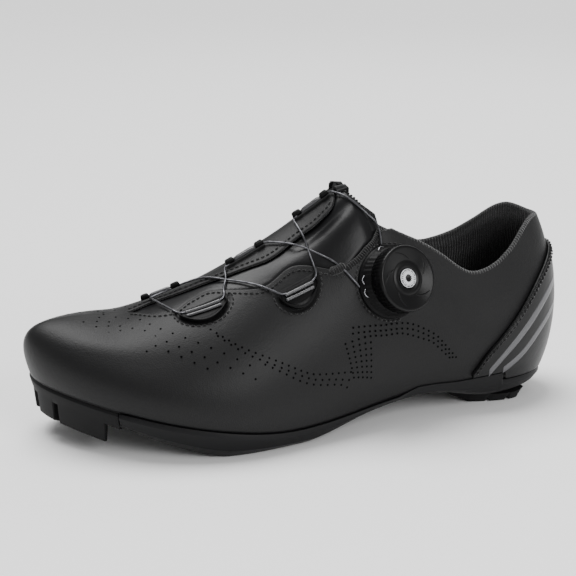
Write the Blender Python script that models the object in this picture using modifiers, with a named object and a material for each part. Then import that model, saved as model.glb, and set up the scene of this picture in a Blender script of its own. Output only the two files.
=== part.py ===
"""A left cycling shoe: stiff plate sole with rubber pads, hollow upper, tongue, lace dial and wire.

Frame: metres, +Z up, the toe towards -X, the outside of the foot towards -Y, the floor at z = 0.
Lengths along the shoe are counted from the heel and are shares of LENGTH. Widths are shares of
BALL_WIDTH or HEEL_WIDTH and heights are shares of the height that their row names.
"""
from collections import namedtuple
from math import cos, pi, sin

import bmesh
import bpy
import numpy as np
from mathutils import Vector

# Driving dimensions
LENGTH = 0.284
BALL_WIDTH = 0.100
HEEL_WIDTH = 0.066
TOE_HEIGHT = 0.060
INSTEP_HEIGHT = 0.114
COLLAR_HEIGHT = 0.075
HEEL_HEIGHT = 0.097
TOE_SPRING = 0.033

WALL = 0.0020
COLLAR_PAD = 0.0060
COLLAR_START = 10.3
COLLAR_BLEND = 1.0
GAP = 0.0003

CENTRE_ALONG = 0.4909
CENTRE_SIDE = 0.0011

RIBS_PER_ROW = 3
MERGE = 0.00002
SHARP_ANGLE = 0.6
TINY_STEP = 0.02
SEARCH_STEPS = 8

# Sole
PLATE_LEDGE = 0.0004
RIM_WIDTH = 0.0013
RIDGE_OUT = 0.0018
RIDGE_DROP = 0.0018
SIDE_INSET = 0.0004
EDGE_INSET = 0.0050
TOE_FLOOR = 0.0030
TREAD_WALL_INSET = 0.0026
LUG_DEPTH = 0.0098
LUG_REACH = 0.28
LUG_SLOPE = 0.06
TREAD_END = 3.26
TREAD_SEAM = 0.04
AXIS_HEEL = 0.120
AXIS_TOE = 0.876
AXIS_TOE_SIDE = 0.090


# Where the plate's heel wings end and how fast they step down, in rows
WING_END = 13.42
WING_STEP = 0.06
# Corners of the plate's side as shares of its depth
RIDGE_LIMIT = 0.30
WAIST = 0.35

# Edge of the toe tread: how far each corner lies out of or inside the feather line, and its drop
TREAD_LIP = 0.0010
TREAD_LIP_DROP = 0.0016
TREAD_WAIST = 0.45
LUG_TOP_INSET = 0.0014
LUG_FOOT_INSET = 0.0024
LUG_END_RUN = 0.04

# Heel pad
PAD_TO_OUTSIDE = 0.001

# Insole and tongue
INSOLE_THICKNESS = 0.0030
INSOLE_MARGIN = 0.0030
TONGUE_THICKNESS = 0.0035
TONGUE_COVERED = 0.0042
TONGUE_SINK_RUN = 0.12
# First and last rib under the tongue, in steps of 1 / RIBS_PER_ROW from the toe tip
TONGUE_FRONT = 10
TONGUE_END = 31

# Heel counter
COUNTER_THICKNESS = 0.0012
COUNTER_GAP = 0.0004
COUNTER_FOOT = 0.0014
COUNTER_RINGS = 5

# Lace dial
DIAL_ROW = 9.92
DIAL_SHARE = 0.523
DIAL_AXIS = (0.24, -0.90, 0.36)
BASE_RADIUS = 0.0178
BASE_HEIGHT = 0.0010
BASE_SKIRT = 0.0025
BASE_TAPER = 0.0012
BASE_SIDES = 24
BASE_HOLLOW = 0.5
KNOB_RADIUS = 0.0165
KNOB_HEIGHT = 0.0085
KNOB_DISH = 0.0004
KNOB_CHAMFER = 0.0010
KNOB_SIDES = 36
KNOB_WELD = 0.00001
# Inner and outer edge of the slope round the dish, as shares of KNOB_RADIUS
DISH_EDGE = (0.55, 0.62)

# Lace guides and wire
GUIDE_THICKNESS = 0.0016
GUIDE_CAP_HEIGHT = 0.0026
WIRE_DIAMETER = 0.0011

Rib = namedtuple("Rib", "wide tall foot_along foot_side top_along top_side top_rise out lift reach drop")

# One row for each rib on the outside of the foot, from the toe tip to the back of the heel. foot is on
# the line where upper and sole meet, top is on the crest of the instep or on the collar. out and lift
# place the first handle of the rib's curve, reach and drop the second.
OUTER_RIBS = [
    Rib(BALL_WIDTH, TOE_HEIGHT, 0.977, 0.140, 0.901, 0.100, 1.030, 0.060, 0.330, 0.275, 0.000),
    Rib(BALL_WIDTH, TOE_HEIGHT, 0.965, 0.010, 0.880, 0.095, 1.030, 0.065, 0.325, 0.270, 0.000),
    Rib(BALL_WIDTH, TOE_HEIGHT, 0.930, -0.130, 0.856, 0.090, 1.025, 0.075, 0.320, 0.270, 0.000),
    Rib(BALL_WIDTH, TOE_HEIGHT, 0.880, -0.260, 0.831, 0.085, 1.023, 0.085, 0.320, 0.275, 0.000),
    Rib(BALL_WIDTH, TOE_HEIGHT, 0.817, -0.375, 0.803, 0.080, 1.035, 0.090, 0.345, 0.280, 0.000),
    Rib(BALL_WIDTH, INSTEP_HEIGHT, 0.739, -0.460, 0.746, 0.070, 0.590, 0.090, 0.215, 0.290, 0.000),
    Rib(BALL_WIDTH, INSTEP_HEIGHT, 0.655, -0.490, 0.673, 0.055, 0.664, 0.090, 0.245, 0.300, 0.000),
    Rib(BALL_WIDTH, INSTEP_HEIGHT, 0.567, -0.460, 0.581, 0.045, 0.781, 0.080, 0.280, 0.285, 0.000),
    Rib(BALL_WIDTH, INSTEP_HEIGHT, 0.479, -0.410, 0.496, 0.040, 0.906, 0.075, 0.320, 0.275, 0.000),
    Rib(BALL_WIDTH, INSTEP_HEIGHT, 0.408, -0.368, 0.428, 0.035, 1.032, 0.070, 0.345, 0.265, 0.000),
    Rib(HEEL_WIDTH, INSTEP_HEIGHT, 0.349, -0.520, 0.390, -0.125, 0.962, 0.090, 0.325, 0.235, 0.123),
    Rib(HEEL_WIDTH, COLLAR_HEIGHT, 0.292, -0.495, 0.342, -0.300, 1.297, 0.090, 0.420, 0.115, 0.267),
    Rib(HEEL_WIDTH, COLLAR_HEIGHT, 0.232, -0.485, 0.272, -0.420, 1.130, 0.095, 0.355, 0.070, 0.293),
    Rib(HEEL_WIDTH, COLLAR_HEIGHT, 0.173, -0.462, 0.211, -0.477, 0.990, 0.106, 0.300, 0.050, 0.267),
    Rib(HEEL_WIDTH, HEEL_HEIGHT, 0.113, -0.409, 0.137, -0.402, 0.845, 0.136, 0.230, 0.065, 0.227),
    Rib(HEEL_WIDTH, HEEL_HEIGHT, 0.063, -0.295, 0.082, -0.250, 0.950, 0.160, 0.258, 0.121, 0.247),
    Rib(HEEL_WIDTH, HEEL_HEIGHT, 0.035, -0.152, 0.050, -0.121, 0.990, 0.172, 0.278, 0.167, 0.247),
    Rib(HEEL_WIDTH, HEEL_HEIGHT, 0.025, 0.000, 0.037, 0.000, 0.995, 0.176, 0.278, 0.182, 0.247),
]

# The same rows on the inside of the foot, between the toe tip and the back of the heel
INNER_RIBS = [
    Rib(BALL_WIDTH, TOE_HEIGHT, 0.970, 0.270, 0.880, 0.095, 1.030, 0.065, 0.320, 0.250, 0.000),
    Rib(BALL_WIDTH, TOE_HEIGHT, 0.940, 0.370, 0.856, 0.090, 1.025, 0.070, 0.320, 0.235, 0.000),
    Rib(BALL_WIDTH, TOE_HEIGHT, 0.887, 0.435, 0.831, 0.085, 1.023, 0.075, 0.330, 0.235, 0.000),
    Rib(BALL_WIDTH, TOE_HEIGHT, 0.820, 0.465, 0.803, 0.080, 1.035, 0.080, 0.367, 0.235, 0.000),
    Rib(BALL_WIDTH, INSTEP_HEIGHT, 0.739, 0.460, 0.746, 0.070, 0.590, 0.080, 0.237, 0.240, 0.000),
    Rib(BALL_WIDTH, INSTEP_HEIGHT, 0.658, 0.420, 0.673, 0.055, 0.664, 0.080, 0.270, 0.250, 0.000),
    Rib(BALL_WIDTH, INSTEP_HEIGHT, 0.570, 0.360, 0.581, 0.045, 0.781, 0.075, 0.305, 0.240, 0.000),
    Rib(BALL_WIDTH, INSTEP_HEIGHT, 0.482, 0.317, 0.496, 0.040, 0.906, 0.070, 0.340, 0.230, 0.000),
    Rib(BALL_WIDTH, INSTEP_HEIGHT, 0.412, 0.297, 0.428, 0.035, 1.032, 0.070, 0.355, 0.220, 0.000),
    Rib(HEEL_WIDTH, INSTEP_HEIGHT, 0.352, 0.447, 0.393, 0.260, 0.950, 0.106, 0.325, 0.230, 0.123),
    Rib(HEEL_WIDTH, COLLAR_HEIGHT, 0.296, 0.455, 0.341, 0.432, 1.240, 0.106, 0.420, 0.115, 0.267),
    Rib(HEEL_WIDTH, COLLAR_HEIGHT, 0.236, 0.470, 0.271, 0.477, 1.080, 0.106, 0.355, 0.065, 0.293),
    Rib(HEEL_WIDTH, COLLAR_HEIGHT, 0.176, 0.462, 0.208, 0.470, 1.008, 0.106, 0.310, 0.050, 0.267),
    Rib(HEEL_WIDTH, HEEL_HEIGHT, 0.113, 0.417, 0.125, 0.425, 0.872, 0.136, 0.247, 0.065, 0.227),
    Rib(HEEL_WIDTH, HEEL_HEIGHT, 0.063, 0.295, 0.075, 0.265, 0.986, 0.155, 0.268, 0.121, 0.247),
    Rib(HEEL_WIDTH, HEEL_HEIGHT, 0.035, 0.152, 0.047, 0.129, 0.996, 0.172, 0.278, 0.167, 0.247),
]
LAST_ROW = len(OUTER_RIBS) - 1
LOOP_ROWS = 2 * LAST_ROW
APEX_ROW = 9

# Where upper and sole meet, seen from the side: along, rise as a share of TOE_SPRING
FEATHER_LINE = [
    (0.000, 0.375), (0.100, 0.410), (0.208, 0.450), (0.313, 0.470), (0.401, 0.395), (0.507, 0.290),
    (0.585, 0.282), (0.665, 0.373), (0.743, 0.495), (0.806, 0.606), (0.870, 0.736), (0.937, 0.880),
    (1.000, 1.010),
]

# Underside of the plate and of the toe tread: along, rise as a share of TOE_SPRING
UNDERSIDE = [
    (0.000, 0.245), (0.040, 0.185), (0.085, 0.160), (0.150, 0.165), (0.210, 0.245), (0.270, 0.365),
    (0.340, 0.395), (0.401, 0.315), (0.460, 0.170), (0.500, 0.055), (0.535, 0.000), (0.580, 0.000),
    (0.690, 0.000), (0.730, 0.065), (0.775, 0.175), (0.825, 0.320), (0.870, 0.470), (0.937, 0.640),
    (1.000, 0.790),
]

# Height of the plate's rim over the feather line: row, outside; the inside is the same
RIM = [
    (0.0, 0.0001), (3.32, 0.0001), (3.66, 0.0007), (9.8, 0.0007), (10.5, 0.0034), (11.8, 0.0030),
    (12.9, 0.0046), (WING_END, 0.0052), (WING_END + WING_STEP, 0.0008), (17.0, 0.0008),
]

# Throat edges: row, outside edge, inside edge, as shares of the section from the crest (0) outwards
THROAT = [
    (3.70, 0.000, 0.000), (4.34, -0.097, 0.020), (4.64, -0.153, 0.025), (4.95, -0.187, 0.010),
    (5.23, -0.190, -0.010), (5.45, -0.159, -0.020), (5.64, -0.145, -0.030), (5.90, -0.141, -0.045),
    (6.15, -0.189, -0.068), (6.38, -0.237, -0.090), (6.76, -0.290, -0.127), (6.97, -0.284, -0.146),
    (7.29, -0.269, -0.145), (7.56, -0.301, -0.133), (7.82, -0.351, -0.131), (8.01, -0.387, -0.136),
    (8.33, -0.432, -0.132), (8.62, -0.426, -0.105), (8.97, -0.405, 0.030), (9.54, -0.329, 0.110),
    (10.00, -0.220, 0.080), (10.41, -0.115, 0.030), (10.80, 0.000, 0.000),
]

# Rings of the upper: share of the rib, wall as a share of COLLAR_PAD at the collar
UPPER_RINGS = [
    (0.00, 0.34), (0.08, 0.34), (0.18, 0.34), (0.29, 0.34), (0.41, 0.34), (0.53, 0.34),
    (0.64, 0.42), (0.74, 0.66), (0.84, 0.95), (0.93, 0.95), (1.00, 0.45),
]

# Lug ranges of the toe tread, in rows from the toe tip, on each side
LUGS = [(0.24, 1.22), (1.42, 2.86)]

# Heel pad: along, half width at the plate and at the floor as shares of HEEL_WIDTH, rise of its
# underside as a share of TOE_SPRING
HEEL_PAD = [
    (0.078, 0.288, 0.258, 0.127), (0.094, 0.341, 0.303, 0.000), (0.125, 0.371, 0.326, 0.000),
    (0.160, 0.356, 0.303, 0.000), (0.190, 0.326, 0.265, 0.000), (0.218, 0.280, 0.212, 0.109),
    (0.250, 0.227, 0.167, 0.248),
]

# Tongue: row, depth of its face under the upper's outer face where the throat is open
TONGUE_DEPTH = [(3.3, 0.0028), (8.0, 0.0028), (8.6, 0.0022), (9.0, 0.0016), (9.7, 0.0012), (10.3, 0.0036)]
# Shares of the section at the tongue's lines of points, outside and inside
TONGUE_OUTER = [-0.56, -0.48, -0.40, -0.32, -0.24, -0.16, -0.08, 0.0]
TONGUE_INNER = [0.0, 0.08, 0.16, 0.24, 0.32, 0.40, 0.48]

# Front edge of the heel counter: row, share of the rib
COUNTER_EDGE = [
    (12.35, 0.100), (12.45, 0.130), (12.67, 0.209), (13.15, 0.355), (14.04, 0.546), (14.57, 0.627),
    (15.27, 0.692), (16.00, 0.740), (17.00, 0.775),
]

# Half moon guides of the outside eyestay: front row, back row, share of the section at each end
# of the straight side
OUTER_GUIDES = {
    "guide_lateral_front": (5.20, 6.13, -0.241, -0.244),
    "guide_lateral_back": (6.92, 7.71, -0.371, -0.380),
}
HALF_MOON_DEPTH = 0.080
HALF_MOON_END = 0.012
HALF_MOON_ROUND = 0.7
HALF_MOON_STEPS = 6

# Slim guides of the inside eyestay: front row, back row, share of the section along the guide
INNER_GUIDES = {
    "guide_medial_front": (4.48, 5.50, 0.085, 0.050),
    "guide_medial_middle": (6.42, 7.15, -0.028, -0.036),
    "guide_medial_back": (7.86, 8.72, 0.004, -0.030),
}
# Outline of a slim guide: share of its length, half width in shares of the section, height
SLIM_GUIDE = [
    (0.00, 0.028, GUIDE_CAP_HEIGHT), (0.22, 0.028, GUIDE_CAP_HEIGHT), (0.23, 0.018, GUIDE_THICKNESS),
    (0.77, 0.018, GUIDE_THICKNESS), (0.78, 0.028, GUIDE_CAP_HEIGHT), (1.00, 0.028, GUIDE_CAP_HEIGHT),
]

# Wire in its crossings: points as row, share of the section, height over the upper's face. A run that
# ends at the dial has the direction round the dial's axis in degrees and the height as its last point.
WIRES = {
    "wire_front": [[(4.70, 0.020, 0.0016), (5.16, -0.218, 0.0012)]],
    "wire_middle": [
        [
            (5.60, 0.020, 0.0016), (5.93, -0.010, 0.0014), (6.10, -0.062, 0.0009), (6.27, -0.124, -0.0002),
            (6.46, -0.190, -0.0002), (6.64, -0.256, 0.0007), (6.76, -0.300, 0.0013), (6.90, -0.346, 0.0013),
        ],
        [
            (6.36, -0.056, 0.0014), (6.32, -0.090, 0.0009), (6.27, -0.124, -0.0002), (6.18, -0.165, 0.0002),
            (6.14, -0.196, 0.0011), (6.12, -0.222, 0.0013),
        ],
    ],
    "wire_back": [
        [
            (7.19, -0.052, 0.0015), (7.45, -0.140, 0.0011), (7.60, -0.186, -0.0001), (7.73, -0.229, -0.0006),
            (7.92, -0.300, -0.0004), (8.12, -0.362, 0.0006), (8.32, -0.434, 0.0013), ("dial", 178, 0.0016),
        ],
        [
            (7.82, -0.026, 0.0014), (7.77, -0.142, 0.0011), (7.75, -0.188, -0.0001), (7.73, -0.229, -0.0006),
            (7.72, -0.285, 0.0000), (7.72, -0.330, 0.0012), (7.72, -0.358, 0.0013),
        ],
    ],
    "wire_top": [[
        (8.75, -0.040, 0.0016), (8.90, -0.110, 0.0010), (9.25, -0.185, 0.0010), (9.80, -0.160, 0.0010),
        (10.25, -0.110, 0.0014), ("dial", 94, 0.0016),
    ]],
}
WIRE_STEPS = 2

WIRE_ROUND = 1

BLACK_LEATHER = (0.020, 0.020, 0.021)
BLACK_RUBBER = (0.016, 0.016, 0.017)
BLACK_NYLON = (0.022, 0.022, 0.024)
BLACK_MESH = (0.030, 0.030, 0.032)
DARK_PLASTIC = (0.024, 0.024, 0.026)
STEEL = (0.42, 0.43, 0.45)


def place(along, side, rise):
    """Point of the frame from a share of the length, a side offset and a height."""
    return np.array([LENGTH * (CENTRE_ALONG - along), side + CENTRE_SIDE, rise])


def spline(knots, values):
    """Natural cubic curve through the values at the knots."""
    knots = np.asarray(knots, float)
    values = np.asarray(values, float)
    count = len(knots)
    steps = np.diff(knots)
    matrix = np.eye(count)
    right = np.zeros_like(values)
    for i in range(1, count - 1):
        matrix[i, i - 1:i + 2] = steps[i - 1], 2 * (steps[i - 1] + steps[i]), steps[i]
        right[i] = 6 * ((values[i + 1] - values[i]) / steps[i] - (values[i] - values[i - 1]) / steps[i - 1])
    bend = np.linalg.solve(matrix, right)

    def read(x):
        x = min(max(x, knots[0]), knots[-1])
        i = min(max(int(np.searchsorted(knots, x)) - 1, 0), count - 2)
        before, after = (knots[i + 1] - x) / steps[i], (x - knots[i]) / steps[i]
        curve = (before ** 3 - before) * bend[i] + (after ** 3 - after) * bend[i + 1]
        return before * values[i] + after * values[i + 1] + curve * steps[i] ** 2 / 6
    return read


def loop_spline(values):
    """Smooth closed curve through the values, one step apart."""
    values = np.asarray(values, float)
    count = len(values)
    matrix = 4 * np.eye(count) + np.roll(np.eye(count), 1, 1) + np.roll(np.eye(count), -1, 1)
    right = 6 * (np.roll(values, -1, 0) - 2 * values + np.roll(values, 1, 0))
    bend = np.linalg.solve(matrix, right)

    def read(x):
        i = int(np.floor(x)) % count
        j = (i + 1) % count
        after = x - np.floor(x)
        before = 1 - after
        curve = (before ** 3 - before) * bend[i] + (after ** 3 - after) * bend[j]
        return before * values[i] + after * values[j] + curve / 6
    return read


def foot_of(rib):
    return place(rib.foot_along, rib.foot_side * rib.wide, 0.0)[:2]


def top_of(rib):
    return place(rib.top_along, rib.top_side * rib.wide, rib.top_rise * rib.tall)


ALL_RIBS = OUTER_RIBS + INNER_RIBS[::-1]
feet = loop_spline([foot_of(rib) for rib in ALL_RIBS])
feather = spline([row[0] for row in FEATHER_LINE], [row[1] * TOE_SPRING for row in FEATHER_LINE])
underside_curve = spline([row[0] for row in UNDERSIDE], [row[1] * TOE_SPRING for row in UNDERSIDE])
throat = spline([row[0] for row in THROAT], [row[1:] for row in THROAT])
counter_edge = spline([row[0] for row in COUNTER_EDGE], [row[1] for row in COUNTER_EDGE])
crest = spline(range(APEX_ROW + 1), [top_of(rib) for rib in OUTER_RIBS[:APEX_ROW + 1]])
collar = spline(
    range(APEX_ROW, LOOP_ROWS - APEX_ROW + 1),
    [top_of(rib) for rib in ALL_RIBS[APEX_ROW:LOOP_ROWS - APEX_ROW + 1]],
)


def underside(along):
    """Height of the underside, flat where it meets the floor."""
    return max(float(underside_curve(along)), 0.0)


def along_at(x):
    """Share of the length at a frame x."""
    return CENTRE_ALONG - x / LENGTH


def outward(turn):
    """Level unit vector out of the shoe at a place round the feather line."""
    ahead = feet(turn + TINY_STEP) - feet(turn - TINY_STEP)
    ahead /= np.linalg.norm(ahead)
    return np.array([ahead[1], -ahead[0], 0.0])


def foot_point(turn):
    """Point of the feather line."""
    x, y = feet(turn)
    return np.array([x, y, feather(along_at(x))])


def top_point(turn):
    """Point of the crest, which both sides share up to the tongue's apex, or of the collar."""
    row = min(turn, LOOP_ROWS - turn)
    return crest(row) if row <= APEX_ROW else collar(turn)


def low_handle(turn, rib):
    return foot_point(turn) + rib.out * rib.wide * outward(turn) + np.array([0.0, 0.0, rib.lift * rib.tall])


def high_handle(turn, rib):
    return top_of(rib) + rib.reach * rib.wide * outward(turn) - np.array([0.0, 0.0, rib.drop * rib.tall])


low_handles = loop_spline([low_handle(turn, rib) for turn, rib in enumerate(ALL_RIBS)])
high_handles = loop_spline([high_handle(turn, rib) for turn, rib in enumerate(ALL_RIBS)])


def skin(turn, share):
    """Point of the last's surface on a rib, from the feather line (0) to the top (1)."""
    turn = turn % LOOP_ROWS
    rest = 1 - share
    lower = rest ** 3 * foot_point(turn) + 3 * rest ** 2 * share * low_handles(turn)
    return lower + 3 * rest * share ** 2 * high_handles(turn) + share ** 3 * top_point(turn)


def section(row, across):
    """Point of a cross section, from the outside foot (-1) over the crest (0) to the inside foot (1)."""
    if across <= 0:
        return skin(row, 1 + across)
    return skin(LOOP_ROWS - row, 1 - across)


def normal_of(surface, first, second):
    """Unit normal of a surface function, from differences."""
    u = surface(first + TINY_STEP, second) - surface(first - TINY_STEP, second)
    v = surface(first, second + TINY_STEP) - surface(first, second - TINY_STEP)
    cross = np.cross(u, v)
    return cross / np.linalg.norm(cross)


def raised_section(row, across, height):
    """Point at a height over a cross section."""
    return section(row, across) + height * normal_of(section, row, across)


def raised_skin(turn, share, height):
    """Point at a height over a rib."""
    return skin(turn, share) + height * normal_of(skin, turn, share)


def material(name, colour, roughness, metallic=0.0):
    """Principled material with one colour."""
    made = bpy.data.materials.new(name)
    made.use_nodes = True
    made.diffuse_color = (*colour, 1.0)
    shader = made.node_tree.nodes["Principled BSDF"]
    shader.inputs["Base Color"].default_value = (*colour, 1.0)
    shader.inputs["Roughness"].default_value = roughness
    shader.inputs["Metallic"].default_value = metallic
    return made


def add_object(name, points, faces, finish, wall=None):
    """Mesh object from points and faces, with coincident points merged."""
    mesh = bpy.data.meshes.new(name)
    mesh.from_pydata([tuple(point) for point in points], [], faces)
    made = bpy.data.objects.new(name, mesh)
    parts.objects.link(made)
    if wall is not None:
        group = made.vertex_groups.new(name="wall")
        for index, weight in enumerate(wall):
            group.add([index], float(weight), "REPLACE")
    work = bmesh.new()
    work.from_mesh(mesh)
    bmesh.ops.remove_doubles(work, verts=work.verts, dist=MERGE)
    work.to_mesh(mesh)
    work.free()
    mesh.materials.append(finish)
    mesh.shade_smooth()
    mesh.set_sharp_from_angle(angle=SHARP_ANGLE)
    return made


def grid_faces(columns, rows, closed):
    """Quads between neighbouring columns of points, each with the same number of rows."""
    faces = []
    for i in range(columns if closed else columns - 1):
        j = (i + 1) % columns
        for k in range(rows - 1):
            faces.append((i * rows + k, j * rows + k, j * rows + k + 1, i * rows + k + 1))
    return faces


def loft(name, profiles, finish, closed_profile=True, capped=True, closed_path=False):
    """Solid through profiles of the same number of points."""
    rows = len(profiles[0])
    points = [point for profile in profiles for point in profile]
    faces = grid_faces(len(profiles), rows, closed_path)
    if closed_profile:
        for i in range(len(profiles) if closed_path else len(profiles) - 1):
            j = (i + 1) % len(profiles)
            faces.append((i * rows + rows - 1, j * rows + rows - 1, j * rows, i * rows))
    if capped:
        last = (len(profiles) - 1) * rows
        faces.append(tuple(range(rows)))
        faces.append(tuple(last + k for k in reversed(range(rows))))
    return add_object(name, points, faces, finish)


def solidify(target, thickness, offset):
    """Gives an open surface its thickness."""
    shell = target.modifiers.new("wall", "SOLIDIFY")
    shell.thickness = thickness
    shell.offset = offset
    shell.use_rim = True
    return shell


def loop_turns(first=0.0, last=None, extra=()):
    """Places of the ribs, evenly spaced, with extra ones where a step needs them."""
    end = LOOP_ROWS if last is None else last
    count = int(round((end - first) * RIBS_PER_ROW))
    turns = {round(first + (end - first) * i / count, 4) for i in range(count + 1)}
    return sorted(turns | {round(turn, 4) for turn in extra})


def throat_share(turn):
    """Where the rib ends at the throat edge, as a signed share of its section."""
    outer_side = turn <= LAST_ROW
    row = turn if outer_side else LOOP_ROWS - turn
    if row <= THROAT[0][0] or row >= THROAT[-1][0]:
        return 0.0
    edges = throat(row)
    if outer_side:
        return min(edges[0], 0.0)
    return edges[1] if row < APEX_ROW else max(edges[1], 0.0)


def wall_weight(row, padded):
    """Share of COLLAR_PAD that the wall has on one ring of a rib."""
    plain = WALL / COLLAR_PAD
    collar_part = min(max((row - COLLAR_START) / COLLAR_BLEND, 0.0), 1.0)
    return plain + collar_part * max(padded - plain, 0.0)


def make_upper(finish):
    """Hollow shell from the feather line to throat and collar."""
    turns = loop_turns()[:-1]
    points = []
    wall = []
    for turn in turns:
        outer_side = turn <= LAST_ROW
        row = turn if outer_side else LOOP_ROWS - turn
        foot = -1.0 if outer_side else 1.0
        edge = throat_share(turn)
        for share, padded in UPPER_RINGS:
            across = foot + (edge - foot) * share
            over_crest = across * foot < 0
            points.append(section(row, across) if over_crest else skin(turn, 1 - abs(across)))
            wall.append(wall_weight(row, padded))
    upper = add_object("upper", points, grid_faces(len(turns), len(UPPER_RINGS), True), finish, wall)
    shell = solidify(upper, COLLAR_PAD, -1.0)
    shell.vertex_group = "wall"
    return upper


def sole_axis(row):
    """Level point on the sole's axis that the two ribs of a row share."""
    middle = (feet(row) + feet(LOOP_ROWS - row)) / 2
    heel_end = place(AXIS_HEEL, 0.0, 0.0)[:2]
    toe_end = place(AXIS_TOE, AXIS_TOE_SIDE * BALL_WIDTH, 0.0)[:2]
    if middle[0] > heel_end[0]:
        return heel_end
    return toe_end if middle[0] < toe_end[0] else middle


def sole_points(turn, top, bottom, steps):
    """Profile of a sole piece on one rib, from the axis below round the rim to the axis above.

    steps are (out, rise) pairs in metres, where out counts from the feather line along the rib's
    outward vector and rise is a height, or a function of the place along the shoe.
    """
    row = min(turn, LOOP_ROWS - turn)
    side = outward(turn)[:2]
    foot = feet(turn)
    axis = sole_axis(row)

    def at(level_point, rise):
        height = rise(along_at(level_point[0])) if callable(rise) else rise
        return np.array([level_point[0], level_point[1], height])

    inner_top = foot + steps[0][0] * side
    inner_bottom = foot + steps[-1][0] * side
    profile = [at(axis, bottom), at((axis + inner_bottom) / 2, bottom)]
    profile += [at(foot + out * side, rise) for out, rise in steps[::-1]]
    profile += [at((axis + inner_top) / 2, top), at(axis, top)]
    return profile


def plate_top(along):
    return feather(along) - GAP


def plate_steps(turn):
    """Rim of the plate on one rib."""
    row = min(turn, LOOP_ROWS - turn)
    foot = foot_point(turn)
    along = along_at(foot[0])
    if row < TREAD_END + TREAD_SEAM:
        inset = -TREAD_WALL_INSET - GAP
        top = plate_top(along)
        drops = np.linspace(0.0, TOE_FLOOR, 7)
        return [(inset, top - drop) for drop in drops]
    face = skin(turn, rim_share(turn, np.interp(row, *zip(*RIM))))
    reach = float(np.dot(face - foot, outward(turn))) + PLATE_LEDGE
    bottom = underside(along)
    depth = plate_top(along) - bottom
    return [
        (-WALL - GAP, plate_top),
        (PLATE_LEDGE, plate_top),
        (reach, face[2]),
        (reach + RIM_WIDTH, face[2]),
        (max(RIDGE_OUT, PLATE_LEDGE + RIM_WIDTH), foot[2] - min(RIDGE_DROP, RIDGE_LIMIT * depth)),
        (-SIDE_INSET, bottom + WAIST * depth),
        (-EDGE_INSET, underside),
    ]


def step_turns(edges, gap):
    """Pairs of places just before and after each edge, on both sides of the shoe."""
    near = [edge + sign * gap for edge in edges for sign in (-0.5, 0.5)]
    return near + [LOOP_ROWS - turn for turn in near]


def make_plate(finish):
    """Stiff plate with rim and heel wings."""
    steps = step_turns([TREAD_END + TREAD_SEAM], TREAD_SEAM)
    steps += step_turns([WING_END + WING_STEP / 2], WING_STEP)
    turns = loop_turns(extra=steps)[:-1]

    def toe_floor(along):
        return plate_top(along) - TOE_FLOOR

    profiles = []
    for turn in turns:
        row = min(turn, LOOP_ROWS - turn)
        low = toe_floor if row < TREAD_END + TREAD_SEAM else underside
        profiles.append(sole_points(turn, plate_top, low, plate_steps(turn)))
    return loft("outsole_plate", profiles, finish, closed_profile=False, capped=False, closed_path=True)


def lug_depth(row):
    """Depth of the toe tread's lugs below its underside."""
    return LUG_DEPTH if any(first < row < last for first, last in LUGS) else 0.0


def tread_profile(turn):
    """Rubber cup round the plate's toe on one rib."""
    row = min(turn, LOOP_ROWS - turn)
    foot = foot_point(turn)
    along = along_at(foot[0])
    depth = lug_depth(row)
    side = outward(turn)[:2]
    level = feet(turn)
    axis = sole_axis(row)
    top = plate_top(along)
    bottom = underside(along)
    side_depth = top - bottom

    def floor_top(at_along):
        return plate_top(at_along) - TOE_FLOOR - GAP

    def tread_low(at_along):
        return underside(at_along) - depth

    def at(level_point, rise):
        height = rise(along_at(level_point[0])) if callable(rise) else rise
        return np.array([*level_point, height])

    wall = level - TREAD_WALL_INSET * side
    edge = level - EDGE_INSET * side
    return [
        at(axis, underside),
        at(edge + (LUG_REACH + LUG_SLOPE) * (axis - edge), underside),
        at(edge + LUG_REACH * (axis - edge), tread_low),
        at(edge, tread_low),
        at(level - LUG_FOOT_INSET * side, tread_low(along)),
        at(level - LUG_TOP_INSET * side, bottom),
        at(level - SIDE_INSET * side, bottom + TREAD_WAIST * side_depth),
        at(level + RIDGE_OUT * side, top - TREAD_LIP_DROP),
        at(level + TREAD_LIP * side, top),
        at(wall, top),
        at(wall, floor_top(along)),
        at((axis + wall) / 2, floor_top),
        at(axis, floor_top),
    ]


def make_toe_tread(finish):
    """Rubber toe pad with its lugs, open above where the plate sits in it."""
    first, last = -TREAD_END, TREAD_END
    edges = [edge for lug in LUGS for edge in lug]
    near = [sign * (edge + side * LUG_END_RUN) for edge in edges for sign in (-1, 1) for side in (-0.5, 0.5)]
    turns = loop_turns(first, last, extra=near)
    profiles = [tread_profile(turn) for turn in turns]
    return loft("toe_tread", profiles, finish, closed_profile=False)


def make_heel_pad(finish):
    """Rubber block under the heel."""
    profiles = []
    for along, upper_half, floor_half, rise in HEEL_PAD:
        top = underside(along) - GAP
        low = rise * TOE_SPRING
        profiles.append([
            place(along, -upper_half * HEEL_WIDTH - PAD_TO_OUTSIDE, top),
            place(along, -floor_half * HEEL_WIDTH - PAD_TO_OUTSIDE, low),
            place(along, floor_half * HEEL_WIDTH - PAD_TO_OUTSIDE, low),
            place(along, upper_half * HEEL_WIDTH - PAD_TO_OUTSIDE, top),
        ])
    return loft("heel_tread", profiles, finish)


def make_insole(finish):
    """Flat foot bed on the plate, inside the upper."""
    def low(along):
        return feather(along) + GAP

    def high(along):
        return low(along) + INSOLE_THICKNESS

    inset = -WALL - INSOLE_MARGIN
    steps = [(inset, high), (inset, low)]
    profiles = [sole_points(turn, high, low, steps) for turn in loop_turns()[:-1]]
    return loft("insole", profiles, finish, closed_profile=False, capped=False, closed_path=True)


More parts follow.
